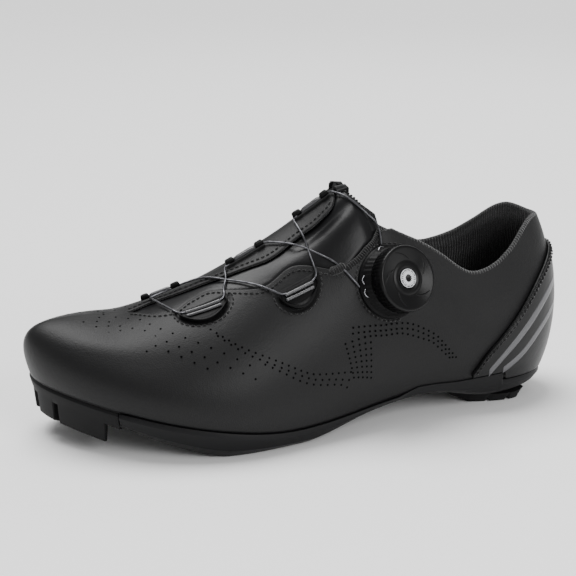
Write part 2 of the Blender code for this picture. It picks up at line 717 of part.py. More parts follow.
def tongue_depth(row, across):
    """How far the tongue's face lies under the upper's outer face, deeper where the upper covers it."""
    edges = throat(row)
    covered = (max(edges[0] - across, across - edges[1]) + TONGUE_SINK_RUN) / TONGUE_SINK_RUN
    open_depth = float(np.interp(row, *zip(*TONGUE_DEPTH)))
    return open_depth + (TONGUE_COVERED - open_depth) * min(max(covered, 0.0), 1.0)


def tongue_point(row, across, outer_side):
    """Point of the tongue's face; behind the apex each side follows its own ribs."""
    depth = tongue_depth(row, across)
    if row <= APEX_ROW:
        return raised_section(row, across, -depth)
    return raised_skin(row if outer_side else LOOP_ROWS - row, 1 - abs(across), -depth)


def tongue_grid(rows, shares):
    """Points of the tongue's face and the quads between them."""
    outer_side = sum(shares) < 0
    points = [tongue_point(row, across, outer_side) for row in rows for across in shares]
    return points, grid_faces(len(rows), len(shares), False)


def make_tongue(finish):
    """Padded flap under the eyestays; behind its apex it parts into an outside and an inside wing."""
    front_rows = np.arange(TONGUE_FRONT, APEX_ROW * RIBS_PER_ROW + 1) / RIBS_PER_ROW
    wing_rows = np.arange(APEX_ROW * RIBS_PER_ROW, TONGUE_END + 1) / RIBS_PER_ROW
    main = tongue_grid(front_rows, TONGUE_OUTER + TONGUE_INNER[1:])
    wings = [tongue_grid(wing_rows, TONGUE_OUTER), tongue_grid(wing_rows, TONGUE_INNER)]
    points, faces = main
    for wing_points, wing_faces in wings:
        start = len(points)
        points = points + wing_points
        faces = faces + [tuple(start + index for index in face) for face in wing_faces]
    tongue = add_object("tongue", points, faces, finish)
    solidify(tongue, TONGUE_THICKNESS, -1.0)
    return tongue


def rim_share(turn, height):
    """Share of a rib at a small height over the feather line."""
    return height / (3 * (low_handles(turn)[2] - foot_point(turn)[2]))


def make_counter(finish):
    """Thin moulded overlay round the heel, down to the plate's rim."""
    first, last = COUNTER_EDGE[0][0], LOOP_ROWS - COUNTER_EDGE[0][0]
    steps = [WING_END + WING_STEP, WING_END + 2 * WING_STEP]
    turns = loop_turns(first, last, extra=steps + [LOOP_ROWS - turn for turn in steps])
    points = []
    for turn in turns:
        row = min(turn, LOOP_ROWS - turn)
        top = counter_edge(row)
        rim = np.interp(row - WING_STEP, *zip(*RIM))
        foot = rim_share(turn, rim + COUNTER_FOOT)
        for share in np.linspace(foot, top, COUNTER_RINGS):
            points.append(raised_skin(turn, float(share), COUNTER_GAP))
    counter = add_object("heel_counter", points, grid_faces(len(turns), COUNTER_RINGS, False), finish)
    solidify(counter, COUNTER_THICKNESS, 1.0)
    return counter


def dial_frame():
    """Centre on the skin, axis and two level directions of the lace dial."""
    centre = skin(DIAL_ROW, DIAL_SHARE)
    axis = np.array(DIAL_AXIS) / np.linalg.norm(DIAL_AXIS)
    first = np.cross([0.0, 0.0, 1.0], axis)
    first /= np.linalg.norm(first)
    return centre, axis, first, np.cross(axis, first)


def skin_height(point, axis):
    """How far along the axis a point has to go to reach the skin."""
    turn, share, height = DIAL_ROW, DIAL_SHARE, 0.0
    step = TINY_STEP
    for _ in range(SEARCH_STEPS):
        miss = skin(turn, share) - point - height * axis
        by_turn = (skin(turn + step, share) - skin(turn - step, share)) / (2 * step)
        by_share = (skin(turn, share + step) - skin(turn, share - step)) / (2 * step)
        change = np.linalg.solve(np.column_stack([by_turn, by_share, -axis]), -miss)
        turn, share, height = turn + change[0], share + change[1], height + change[2]
    return height


def make_dial(base_finish, knob_finish):
    """Base that follows the quarter, and the round knob on it."""
    centre, axis, first, second = dial_frame()
    rim = []
    for i in range(BASE_SIDES):
        angle = 2 * pi * i / BASE_SIDES
        rim.append(cos(angle) * first + sin(angle) * second)
    heights = [skin_height(centre + BASE_RADIUS * spoke, axis) for spoke in rim]
    level = max(max(heights), 0.0) + BASE_HEIGHT
    low = [centre + BASE_RADIUS * s + (h + 2 * GAP) * axis for s, h in zip(rim, heights)]
    inner = BASE_HOLLOW * BASE_RADIUS
    inner_low = [centre + inner * s + (BASE_HOLLOW * h + BASE_SKIRT) * axis for s, h in zip(rim, heights)]
    high = [centre + (BASE_RADIUS - BASE_TAPER) * s + level * axis for s in rim]
    points = [centre + BASE_SKIRT * axis, *inner_low, *low, *high, centre + level * axis]
    faces = []
    count = len(rim)
    for i in range(count):
        j = (i + 1) % count
        faces.append((0, 1 + j, 1 + i))
        for ring in range(2):
            a = 1 + ring * count
            faces.append((a + i, a + j, a + count + j, a + count + i))
        top = 1 + 2 * count
        faces.append((top + i, top + j, len(points) - 1))
    base = add_object("dial_base", points, faces, base_finish)
    make_knob(centre + (level + GAP) * axis, axis, knob_finish)
    return base


def make_knob(seat, axis, finish):
    """Turned knob with a shallow dish in its face."""
    profile = [
        (0.0, KNOB_HEIGHT - KNOB_DISH),
        (DISH_EDGE[0] * KNOB_RADIUS, KNOB_HEIGHT - KNOB_DISH),
        (DISH_EDGE[1] * KNOB_RADIUS, KNOB_HEIGHT),
        (KNOB_RADIUS - KNOB_CHAMFER, KNOB_HEIGHT),
        (KNOB_RADIUS, KNOB_HEIGHT - KNOB_CHAMFER),
        (KNOB_RADIUS, KNOB_CHAMFER),
        (KNOB_RADIUS - KNOB_CHAMFER, 0.0),
        (0.0, 0.0),
    ]
    mesh = bpy.data.meshes.new("dial_knob")
    edges = [(i, i + 1) for i in range(len(profile) - 1)]
    mesh.from_pydata([(radius, 0.0, height) for radius, height in profile], edges, [])
    mesh.materials.append(finish)
    knob = bpy.data.objects.new("dial_knob", mesh)
    parts.objects.link(knob)
    turn = knob.modifiers.new("turn", "SCREW")
    turn.steps = turn.render_steps = KNOB_SIDES
    turn.use_merge_vertices = True
    turn.merge_threshold = KNOB_WELD
    knob.location = Vector(seat)
    knob.rotation_mode = "QUATERNION"
    knob.rotation_quaternion = Vector(axis).to_track_quat("Z", "Y")
    return knob


def band(name, stations, finish):
    """Solid along the skin through stations of (row, low edge, high edge, height)."""
    profiles = []
    for row, low, high, height in stations:
        profiles.append([
            raised_section(row, low, 2 * GAP),
            raised_section(row, low, 2 * GAP + height),
            raised_section(row, high, 2 * GAP + height),
            raised_section(row, high, 2 * GAP),
        ])
    return loft(name, profiles, finish)


def make_guides(colour):
    """Half moon guides outside, slim guides inside."""
    for name, (front, back, edge_front, edge_back) in OUTER_GUIDES.items():
        stations = []
        for i in range(HALF_MOON_STEPS + 1):
            share = i / HALF_MOON_STEPS
            edge = edge_front + (edge_back - edge_front) * share
            belly = HALF_MOON_END + HALF_MOON_DEPTH * sin(pi * share) ** HALF_MOON_ROUND
            stations.append((front + (back - front) * share, edge - belly, edge, GUIDE_THICKNESS))
        band(name, stations, material(f"{name}_plastic", colour, 0.35))
    for name, (front, back, mid_front, mid_back) in INNER_GUIDES.items():
        stations = []
        for share, half, height in SLIM_GUIDE:
            middle = mid_front + (mid_back - mid_front) * share
            stations.append((front + (back - front) * share, middle - half, middle + half, height))
        band(name, stations, material(f"{name}_plastic", colour, 0.35))


def wire_stop(stop):
    """Point of a wire's route, on a cross section or beside the dial's base."""
    if stop[0] != "dial":
        return raised_section(*stop)
    centre, axis, first, second = dial_frame()
    angle = stop[1] * pi / 180
    side = centre + (BASE_RADIUS + WIRE_DIAMETER / 2 + GAP) * (cos(angle) * first + sin(angle) * second)
    return side + (skin_height(side, axis) + stop[2]) * axis


def wire_tube(name, route):
    """Round wire along a smooth curve through the route's points, as a welded mesh."""
    stops = spline(range(len(route)), [wire_stop(stop) for stop in route])
    count = (len(route) - 1) * WIRE_STEPS + 1
    curve = bpy.data.curves.new(name, "CURVE")
    curve.dimensions = "3D"
    curve.bevel_depth = WIRE_DIAMETER / 2
    curve.bevel_resolution = WIRE_ROUND
    curve.use_fill_caps = True
    line = curve.splines.new("POLY")
    line.points.add(count - 1)
    for i in range(count):
        line.points[i].co = (*stops(i / WIRE_STEPS), 1.0)
    tube = bpy.data.objects.new(name, curve)
    parts.objects.link(tube)
    evaluated = tube.evaluated_get(bpy.context.evaluated_depsgraph_get())
    mesh = bpy.data.meshes.new_from_object(evaluated)
    mesh.name = name
    work = bmesh.new()
    work.from_mesh(mesh)
    bmesh.ops.remove_doubles(work, verts=work.verts, dist=MERGE)
    work.to_mesh(mesh)
    work.free()
    bpy.data.objects.remove(tube, do_unlink=True)
    return mesh


def make_wires(colour):
    """Wire between the guides; two runs that cross are joined where they meet."""
    for name, routes in WIRES.items():
        finish = material(f"{name}_steel", colour, 0.30, 1.0)
        meshes = [wire_tube(f"{name}_run", route) for route in routes]
        meshes[0].materials.append(finish)
        wire = bpy.data.objects.new(name, meshes[0])
        parts.objects.link(wire)
        for mesh in meshes[1:]:
            mesh.materials.append(finish)
            other = bpy.data.objects.new(f"{name}_joined", mesh)
            other.hide_render = True
            other.display_type = "WIRE"
            cutters.objects.link(other)
            join = wire.modifiers.new("crossing", "BOOLEAN")
            join.operation = "UNION"
            join.object = other


for old in list(bpy.data.objects):
    bpy.data.objects.remove(old, do_unlink=True)
parts = bpy.data.collections.new("cycling_shoe")
cutters = bpy.data.collections.new("cutters")
bpy.context.scene.collection.children.link(parts)
bpy.context.scene.collection.children.link(cutters)

make_upper(material("upper_leather", BLACK_LEATHER, 0.42))
make_plate(material("plate_nylon", BLACK_NYLON, 0.45))
make_toe_tread(material("tread_rubber_toe", BLACK_RUBBER, 0.70))
make_heel_pad(material("tread_rubber_heel", BLACK_RUBBER, 0.70))
make_insole(material("insole_cloth", BLACK_MESH, 0.85))
make_tongue(material("tongue_leather", BLACK_LEATHER, 0.38))
make_counter(material("counter_film", BLACK_LEATHER, 0.35))
make_dial(
    material("dial_base_plastic", DARK_PLASTIC, 0.45),
    material("dial_knob_plastic", DARK_PLASTIC, 0.35),
)
make_guides(DARK_PLASTIC)
make_wires(STEEL)
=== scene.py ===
"""Looks of a left cycling shoe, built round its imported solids.

Frame: metres, +Z up, the toe towards -X, the outside of the foot towards -Y, the floor at z = 0.
A place on the upper is a row (0 at the toe tip, 17 at the back of the heel) and a share across the
section (-1 at the outside foot, 0 on the crest, 1 at the inside foot), as in the part's own source.
"""
from collections import namedtuple
from math import cos, pi, radians, sin

import bmesh
import bpy
import numpy as np
from mathutils import Matrix, Vector

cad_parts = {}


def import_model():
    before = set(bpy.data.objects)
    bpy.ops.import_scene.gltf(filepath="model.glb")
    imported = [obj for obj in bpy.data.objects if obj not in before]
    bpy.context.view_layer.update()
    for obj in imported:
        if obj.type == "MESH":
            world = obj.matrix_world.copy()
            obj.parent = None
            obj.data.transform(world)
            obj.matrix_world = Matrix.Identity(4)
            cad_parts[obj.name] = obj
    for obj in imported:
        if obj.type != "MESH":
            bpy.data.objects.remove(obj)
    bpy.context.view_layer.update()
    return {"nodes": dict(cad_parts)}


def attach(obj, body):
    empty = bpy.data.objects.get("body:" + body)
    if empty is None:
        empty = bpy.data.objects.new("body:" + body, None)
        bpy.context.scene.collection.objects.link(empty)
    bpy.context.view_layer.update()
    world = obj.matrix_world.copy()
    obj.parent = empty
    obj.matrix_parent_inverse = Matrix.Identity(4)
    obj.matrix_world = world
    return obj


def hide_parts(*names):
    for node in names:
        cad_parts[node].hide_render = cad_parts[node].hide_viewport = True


# Driving dimensions, the same as the solids'
LENGTH = 0.284
BALL_WIDTH = 0.100
HEEL_WIDTH = 0.066
TOE_HEIGHT = 0.060
INSTEP_HEIGHT = 0.114
COLLAR_HEIGHT = 0.075
HEEL_HEIGHT = 0.097
TOE_SPRING = 0.033
WALL = 0.0020
COLLAR_PAD = 0.0060
COLLAR_START = 10.3
COLLAR_BLEND = 1.0
GAP = 0.0003
CENTRE_ALONG = 0.4909
CENTRE_SIDE = 0.0011
TINY_STEP = 0.02

# Sole
PLATE_LEDGE = 0.00005
RIM_WIDTH = 0.0009
RIDGE_OUT = 0.0018
RIDGE_DROP = 0.0018
SIDE_INSET = 0.0004
EDGE_INSET = 0.0050
TOE_FLOOR = 0.0030
TREAD_WALL_INSET = 0.0026
LUG_DEPTH = 0.0098
LUG_REACH = 0.28
LUG_SLOPE = 0.06
TREAD_END = 3.26
TREAD_SEAM = 0.04
AXIS_HEEL = 0.120
AXIS_TOE = 0.876
AXIS_TOE_SIDE = 0.090
WING_END = 13.42
WING_STEP = 0.06
RIDGE_LIMIT = 0.30
WAIST = 0.35
TREAD_LIP = -0.0006
TREAD_LIP_DROP = 0.0016
TREAD_RIDGE_OUT = 0.0002
TREAD_WAIST = 0.45
LUG_TOP_INSET = 0.0014
LUG_FOOT_INSET = 0.0024
LUG_END_RUN = 0.04
PAD_TO_OUTSIDE = 0.001

# Tongue, counter, dial, guides and wire
TONGUE_THICKNESS = 0.0035
COUNTER_THICKNESS = 0.0012
COUNTER_GAP = 0.0004
COUNTER_FOOT = 0.0014
DIAL_ROW = 9.92
DIAL_SHARE = 0.523
DIAL_AXIS = (0.24, -0.90, 0.36)
BASE_RADIUS = 0.0178
BASE_HEIGHT = 0.0010
BASE_TAPER = 0.0012
KNOB_RADIUS = 0.0165
KNOB_HEIGHT = 0.0085
WIRE_DIAMETER = 0.0011
HALF_MOON_DEPTH = 0.080
HALF_MOON_END = 0.012
HALF_MOON_ROUND = 0.7

Rib = namedtuple("Rib", "wide tall foot_along foot_side top_along top_side top_rise out lift reach drop")

# Width and height that the shares of each row count from, from the toe tip to the back of the heel
RIB_SCALES = [(BALL_WIDTH, TOE_HEIGHT)] * 5 + [(BALL_WIDTH, INSTEP_HEIGHT)] * 5
RIB_SCALES += [(HEEL_WIDTH, INSTEP_HEIGHT)] + [(HEEL_WIDTH, COLLAR_HEIGHT)] * 3
RIB_SCALES += [(HEEL_WIDTH, HEEL_HEIGHT)] * 4

# One row for each rib on the outside of the foot, from the toe tip to the back of the heel. foot is on
# the line where upper and sole meet, top is on the crest of the instep or on the collar. out and lift
# place the first handle of the rib's curve, reach and drop the second.
OUTER_RIBS = [
    (0.977, 0.140, 0.901, 0.100, 1.030, 0.060, 0.330, 0.275, 0.000),
    (0.965, 0.010, 0.880, 0.095, 1.030, 0.065, 0.325, 0.270, 0.000),
    (0.930, -0.130, 0.856, 0.090, 1.025, 0.075, 0.320, 0.270, 0.000),
    (0.880, -0.260, 0.831, 0.085, 1.023, 0.085, 0.320, 0.275, 0.000),
    (0.817, -0.375, 0.803, 0.080, 1.035, 0.090, 0.345, 0.280, 0.000),
    (0.739, -0.460, 0.746, 0.070, 0.590, 0.090, 0.215, 0.290, 0.000),
    (0.655, -0.490, 0.673, 0.055, 0.664, 0.090, 0.245, 0.300, 0.000),
    (0.567, -0.460, 0.581, 0.045, 0.781, 0.080, 0.280, 0.285, 0.000),
    (0.479, -0.410, 0.496, 0.040, 0.906, 0.075, 0.320, 0.275, 0.000),
    (0.408, -0.368, 0.428, 0.035, 1.032, 0.070, 0.345, 0.265, 0.000),
    (0.349, -0.520, 0.390, -0.125, 0.962, 0.090, 0.325, 0.235, 0.123),
    (0.292, -0.495, 0.342, -0.300, 1.297, 0.090, 0.420, 0.115, 0.267),
    (0.232, -0.485, 0.272, -0.420, 1.130, 0.095, 0.355, 0.070, 0.293),
    (0.173, -0.462, 0.211, -0.477, 0.990, 0.106, 0.300, 0.050, 0.267),
    (0.113, -0.409, 0.137, -0.402, 0.845, 0.136, 0.230, 0.065, 0.227),
    (0.063, -0.295, 0.082, -0.250, 0.950, 0.160, 0.258, 0.121, 0.247),
    (0.035, -0.152, 0.050, -0.121, 0.990, 0.172, 0.278, 0.167, 0.247),
    (0.025, 0.000, 0.037, 0.000, 0.995, 0.176, 0.278, 0.182, 0.247),
]

# The same rows on the inside of the foot, between the toe tip and the back of the heel
INNER_RIBS = [
    (0.970, 0.270, 0.880, 0.095, 1.030, 0.065, 0.320, 0.250, 0.000),
    (0.940, 0.370, 0.856, 0.090, 1.025, 0.070, 0.320, 0.235, 0.000),
    (0.887, 0.435, 0.831, 0.085, 1.023, 0.075, 0.330, 0.235, 0.000),
    (0.820, 0.465, 0.803, 0.080, 1.035, 0.080, 0.367, 0.235, 0.000),
    (0.739, 0.460, 0.746, 0.070, 0.590, 0.080, 0.237, 0.240, 0.000),
    (0.658, 0.420, 0.673, 0.055, 0.664, 0.080, 0.270, 0.250, 0.000),
    (0.570, 0.360, 0.581, 0.045, 0.781, 0.075, 0.305, 0.240, 0.000),
    (0.482, 0.317, 0.496, 0.040, 0.906, 0.070, 0.340, 0.230, 0.000),
    (0.412, 0.297, 0.428, 0.035, 1.032, 0.070, 0.355, 0.220, 0.000),
    (0.352, 0.447, 0.393, 0.260, 0.950, 0.106, 0.325, 0.230, 0.123),
    (0.296, 0.455, 0.341, 0.432, 1.240, 0.106, 0.420, 0.115, 0.267),
    (0.236, 0.470, 0.271, 0.477, 1.080, 0.106, 0.355, 0.065, 0.293),
    (0.176, 0.462, 0.208, 0.470, 1.008, 0.106, 0.310, 0.050, 0.267),
    (0.113, 0.417, 0.125, 0.425, 0.872, 0.136, 0.247, 0.065, 0.227),
    (0.063, 0.295, 0.075, 0.265, 0.986, 0.155, 0.268, 0.121, 0.247),
    (0.035, 0.152, 0.047, 0.129, 0.996, 0.172, 0.278, 0.167, 0.247),
]
LAST_ROW = len(OUTER_RIBS) - 1
LOOP_ROWS = 2 * LAST_ROW
APEX_ROW = 9

# Where upper and sole meet, seen from the side: along, rise as a share of TOE_SPRING
FEATHER_LINE = [
    (0.000, 0.375), (0.100, 0.410), (0.208, 0.450), (0.313, 0.470), (0.401, 0.395), (0.507, 0.290),
    (0.585, 0.282), (0.665, 0.373), (0.743, 0.495), (0.806, 0.606), (0.870, 0.736), (0.937, 0.880),
    (1.000, 1.010),
]

# Underside of the plate and of the toe tread: along, rise as a share of TOE_SPRING
UNDERSIDE = [
    (0.000, 0.245), (0.040, 0.185), (0.085, 0.160), (0.150, 0.165), (0.210, 0.245), (0.270, 0.365),
    (0.340, 0.395), (0.401, 0.315), (0.460, 0.170), (0.500, 0.055), (0.535, 0.000), (0.580, 0.000),
    (0.690, 0.000), (0.730, 0.065), (0.775, 0.175), (0.825, 0.320), (0.870, 0.470), (0.937, 0.640),
    (1.000, 0.790),
]

# Height of the plate's rim over the feather line: row, outside; the inside is the same
RIM = [
    (0.0, 0.0001), (3.32, 0.0001), (3.66, 0.0007), (9.8, 0.0007), (10.5, 0.0034), (11.8, 0.0030),
    (12.9, 0.0046), (WING_END, 0.0052), (WING_END + WING_STEP, 0.0008), (17.0, 0.0008),
]

# Throat edges: row, outside edge, inside edge, as shares of the section from the crest (0) outwards
THROAT = [
    (3.70, 0.000, 0.000), (4.34, -0.097, 0.020), (4.64, -0.153, 0.025), (4.95, -0.187, 0.010),
    (5.23, -0.190, -0.010), (5.45, -0.159, -0.020), (5.64, -0.145, -0.030), (5.90, -0.141, -0.045),
    (6.15, -0.189, -0.068), (6.38, -0.237, -0.090), (6.76, -0.290, -0.127), (6.97, -0.284, -0.146),
    (7.29, -0.269, -0.145), (7.56, -0.301, -0.133), (7.82, -0.351, -0.131), (8.01, -0.387, -0.136),
    (8.33, -0.432, -0.132), (8.62, -0.426, -0.105), (8.97, -0.405, 0.030), (9.54, -0.329, 0.110),
    (10.00, -0.220, 0.080), (10.41, -0.115, 0.030), (10.80, 0.000, 0.000),
]

# Lug ranges of the toe tread, in rows from the toe tip, on each side
LUGS = [(0.24, 1.22), (1.42, 2.86)]

# Heel pad: along, half width at the plate and at the floor as shares of HEEL_WIDTH, rise of its
# underside as a share of TOE_SPRING
HEEL_PAD = [
    (0.078, 0.288, 0.258, 0.127), (0.094, 0.341, 0.303, 0.000), (0.125, 0.371, 0.326, 0.000),
    (0.160, 0.356, 0.303, 0.000), (0.190, 0.326, 0.265, 0.000), (0.218, 0.280, 0.212, 0.109),
    (0.250, 0.227, 0.167, 0.248),
]

# Front edge of the heel counter: row, share of the rib
COUNTER_EDGE = [
    (12.35, 0.100), (12.45, 0.130), (12.67, 0.209), (13.15, 0.355), (14.04, 0.546), (14.57, 0.627),
    (15.27, 0.692), (16.00, 0.740), (17.00, 0.775),
]

# Half moon guides of the outside eyestay: front row, back row, share of the section at each end
# of the straight side
OUTER_GUIDES = {
    "guide_lateral_front": (5.20, 6.13, -0.241, -0.244),
    "guide_lateral_back": (6.92, 7.71, -0.371, -0.380),
}

# Slim guides of the inside eyestay: front row, back row, share of the section along the guide
INNER_GUIDES = {
    "guide_medial_front": (4.48, 5.50, 0.085, 0.050),
    "guide_medial_middle": (6.42, 7.15, -0.028, -0.036),
    "guide_medial_back": (7.86, 8.72, 0.004, -0.030),
}

# Wire in its crossings: points as row, share of the section, height over the upper's face. A run that
# ends at the dial has the direction round the dial's axis in degrees and the height as its last point.
WIRES = {
    "wire_front": [[(4.70, 0.020, 0.0016), (5.16, -0.218, 0.0012)]],
    "wire_middle": [
        [
            (5.60, 0.020, 0.0016), (5.93, -0.010, 0.0014), (6.10, -0.062, 0.0009), (6.27, -0.124, -0.0002),
            (6.46, -0.190, -0.0002), (6.64, -0.256, 0.0007), (6.76, -0.300, 0.0013), (6.90, -0.346, 0.0013),
        ],
        [
            (6.36, -0.056, 0.0014), (6.32, -0.090, 0.0009), (6.27, -0.124, -0.0002), (6.18, -0.165, 0.0002),
            (6.14, -0.196, 0.0011), (6.12, -0.222, 0.0013),
        ],
    ],
    "wire_back": [
        [
            (7.19, -0.052, 0.0015), (7.45, -0.140, 0.0011), (7.60, -0.186, -0.0001), (7.73, -0.229, -0.0006),
            (7.92, -0.300, -0.0004), (8.12, -0.362, 0.0006), (8.32, -0.434, 0.0013), ("dial", 178, 0.0016),
        ],
        [
            (7.82, -0.026, 0.0014), (7.77, -0.142, 0.0011), (7.75, -0.188, -0.0001), (7.73, -0.229, -0.0006),
            (7.72, -0.285, 0.0000), (7.72, -0.330, 0.0012), (7.72, -0.358, 0.0013),
        ],
    ],
    "wire_top": [[
        (8.75, -0.040, 0.0016), (8.90, -0.110, 0.0010), (9.25, -0.185, 0.0010), (9.80, -0.160, 0.0010),
        (10.25, -0.110, 0.0014), ("dial", 94, 0.0016),
    ]],
}

# Rings of the upper: share of the rib, wall as a share of COLLAR_PAD at the collar
WALL_RINGS = [
    (0.00, 0.34), (0.53, 0.34), (0.64, 0.42), (0.74, 0.66), (0.84, 0.95), (0.93, 0.95), (1.00, 0.52),
]

# Camera: distance, azimuth and elevation of the view, roll, focal length in picture widths and the
# place of the aim in the picture, all fitted to the photograph
VIEW_DISTANCE = 0.80
VIEW_AZIMUTH = 21.0
VIEW_ELEVATION = 18.5
VIEW_ROLL = 0.3
FOCAL_WIDTHS = 2.739
SENSOR = 36.0
AIM_FROM_HEEL = 0.146
AIM_HEIGHT = 0.050
SHIFT_X = -0.0082
SHIFT_Y = 0.0556

# Upper
THIN_EDGE = 0.0007
THIN_FROM = 0.9
MIN_WALL = 0.0010
EDGE_STEPS = 5
INNER_RINGS = 26
# How far the rim stays below the rib's end: row, share
RIM_CUT = [
    (10.20, 0.000), (10.55, 0.016), (10.80, 0.034), (11.10, 0.016), (11.50, 0.000), (13.20, 0.000),
    (13.70, 0.014), (14.20, 0.012), (14.70, 0.000), (15.30, 0.000), (16.00, 0.014), (16.40, 0.024),
    (17.00, 0.028),
]
# Row behind which the lining covers the rolled edge
LINING_FROM = 10.45
# Rings of the lower and of the upper half of each rib, and the ring whose length gives the weave its metres
UPPER_LOW_RINGS = 16
UPPER_FINE_RINGS = 74
UV_RING = 60
# Columns round the upper: from turn, to turn, count
UPPER_COLUMNS = [
    (0.0, 4.6, 46), (4.6, 8.4, 95), (8.4, 10.8, 40), (10.8, 17.0, 62), (17.0, 23.2, 62), (23.2, 30.0, 85),
    (30.0, 34.0, 40),
]
RIB_LENGTH = 0.095
RECESS_DROP = 0.0007
RECESS_LONG = 1.14
RECESS_DEEP = 1.16
RECESS_SOFT = 0.90
RECESS_OPEN = (-0.28, -0.16)
# Soft ridges and troughs: row, across, reach in rows, reach across, rise
SOFT_FORMS = [
    (3.2, -0.42, 1.2, 0.10, 0.0006),
    (4.6, -0.55, 0.9, 0.12, -0.0005),
    (9.2, -0.62, 0.8, 0.10, -0.0006),
    (12.4, -0.45, 1.4, 0.12, -0.0008),
]

# Tongue in the scene: row, depth of its open face under the upper's outer face
TONGUE_DEPTH = [
    (3.3, 0.0015), (6.0, 0.0014), (8.0, 0.0012), (8.6, 0.0010), (9.0, 0.0009), (9.7, 0.0009),
    (10.3, 0.0018),
]
# Grid of the tongue: first row, last row, count; then for each side, first and last share, count
TONGUE_ROWS = (3.4, 10.33, 130)
TONGUE_SIDES = [(-1.0, -0.56, 0.0, 44), (1.0, 0.0, 0.48, 36)]
TONGUE_MERGE = 0.0001
# Rounding of sharp edges: width, segments, smallest angle in degrees
TONGUE_ROUNDING = (0.0008, 3, 50)
# Part of the sink that lies inside the throat's edge
TONGUE_SINK_LEAD = 0.35
TONGUE_COVERED = 0.0042
TONGUE_SINK_RUN = 0.05
TONGUE_ROUND = 0.0008
TONGUE_ROUND_SHARE = 0.04
TONGUE_ROUND_ROWS = 0.4
PADDING_FADE = 0.3
# Padding of the tongue, in the same order as the soft ridges
TONGUE_FORMS = [
    (8.3, -0.27, 0.8, 0.09, 0.0012),
    (8.15, -0.175, 0.75, 0.040, -0.0022),
    (9.5, -0.16, 0.35, 0.09, 0.0010),
]

# Heel overlay; its seam, groove and lip are measured down from its front edge
COUNTER_COLUMNS = 260
COUNTER_RINGS = 90
COUNTER_BACK_STEP = 6
COUNTER_LIP = 0.0003
COUNTER_LIP_RUN = 0.0006
SEAM_WIDTH = 0.0042
SEAM_RISE = 0.0005
SEAM_END = (SEAM_WIDTH - 0.0008, SEAM_WIDTH + 0.0004)
SEAM_GROOVE = 0.0004
GROOVE_HALF = 0.0005
TAPE_THICKNESS = 0.00012
TAPE_SINK = 0.0001
TAPE_TAPER = 0.25
BAND_STEPS = 60
# Section of a tape: offset in half widths, lift in thicknesses
TAPE_SECTION = [(-1, 0), (-1, 1), (-0.5, 1), (0, 1), (0.5, 1), (1, 1), (1, 0)]
# Bands of tape: name, centre line as rows and shares of the rib, half width
BANDS = [
    ("tape_front", [(12.91, 0.103), (13.56, 0.289), (14.46, 0.450), (15.61, 0.548), (17.0, 0.590)], 0.0032),
    ("tape_back", [(13.39, 0.116), (14.12, 0.242), (14.91, 0.360), (16.14, 0.440), (17.0, 0.460)], 0.0028),
]

# Sole
SOLE_STEPS = 10
TREAD_COLUMNS = 60
PAD_COLUMNS = 60
TURN_DIGITS = 5
SOLE_ROUNDING = (0.0005, 3, 24)
PAD_ROUNDING = (0.0006, 3, 30)
HEEL_GROOVES = (0.118, 0.156)
HEEL_GROOVE_HALF = 0.0035
HEEL_GROOVE_DEPTH = 0.0016

# Dial
SOLVER_STEPS = 8
SEAT_PROBES = 24
SEAT_SIDES = 144
BASE_TEETH = 44
BASE_TOOTH = 0.0004
BASE_FLANGE = 0.0006
# Rings of the dial's base: share of its radius, inset, 1 if toothed, share of the quarter's height there,
# share of the height of the knob's seat, rise
SEAT_RINGS = [
    (0.2, 0, 0, 0.2, 0, 0.0010), (0.8, 0, 0, 0.9, 0, 0.0004), (1.0, -BASE_FLANGE, 0, 1.0, 0, 0.0004),
    (1.0, -BASE_FLANGE, 0, 1.0, 0, 0.0012), (1.0, 0.0002, 0, 1.0, 0, 0.0018),
    (1.0, 0.0006, 1, 1.0, 0, 0.0024), (1.0, BASE_TAPER, 1, 0, 1, -0.0004),
    (1.0, BASE_TAPER + 0.0006, 0, 0, 1, 0), (0.2, 0, 0, 0, 1, 0),
]
KNOB_TEETH = 54
KNOB_TOOTH = 0.0003
KNOB_RIB_SHARE = 0.2
KNOB_RIB_IN = 0.0012
KNOB_RIB_DROP = 0.0008
RIB_SIDES = 4
CAP_SIDES = 96
FACE_RING = 0.52 * KNOB_RADIUS
BADGE_RADIUS = 0.0048
FACE_DROP = 0.0004
# Profiles turned about the dial's axis: radius, height over the knob's top
KNOB_PROFILE = [
    (0.001, -KNOB_HEIGHT), (KNOB_RADIUS - 0.0010, -KNOB_HEIGHT), (KNOB_RADIUS, 0.0006 - KNOB_HEIGHT),
    (KNOB_RADIUS, -0.0012), (KNOB_RADIUS - 0.0002, -0.0005), (KNOB_RADIUS - 0.0007, -0.0001),
    (KNOB_RADIUS - 0.0014, 0.0), (KNOB_RADIUS - 0.0018, -0.0002), (FACE_RING + 0.0006, -FACE_DROP),
    (FACE_RING, -0.0008), (FACE_RING - 0.0006, -FACE_DROP), (BADGE_RADIUS + 0.0006, -FACE_DROP),
    (BADGE_RADIUS, -0.0009), (0.001, -0.0009),
]
CAP_PROFILE = [
    (0.0002, -0.0012), (BADGE_RADIUS - 0.0002, -0.0012), (BADGE_RADIUS - 0.0002, -0.0004),
    (BADGE_RADIUS - 0.0006, -0.0001), (0.0002, 0.0),
]
RING_PROFILE = [
    (0.90 * BADGE_RADIUS, -0.0005), (0.96 * BADGE_RADIUS, -0.0005), (0.96 * BADGE_RADIUS, -0.00005),
    (0.90 * BADGE_RADIUS, 0.00005),
]
GRIP_LINES = 5
GRIP_STEPS = 40
GRIP_POWER = 4
GRIP_SWEEP = 0.75
GRIP_FROM = 0.56
GRIP_TO = 0.90
GRIP_WIDTH = 0.0009
GRIP_RISE = 0.00025
TICKS = 24
TICK_WIDTH = 0.0006
TICK_MIDDLE = 0.62
TICK_REACH = 0.24
TICK_RISE = 0.00012
TICK_LIFT = 0.00002
SHORT_TICK = 0.72

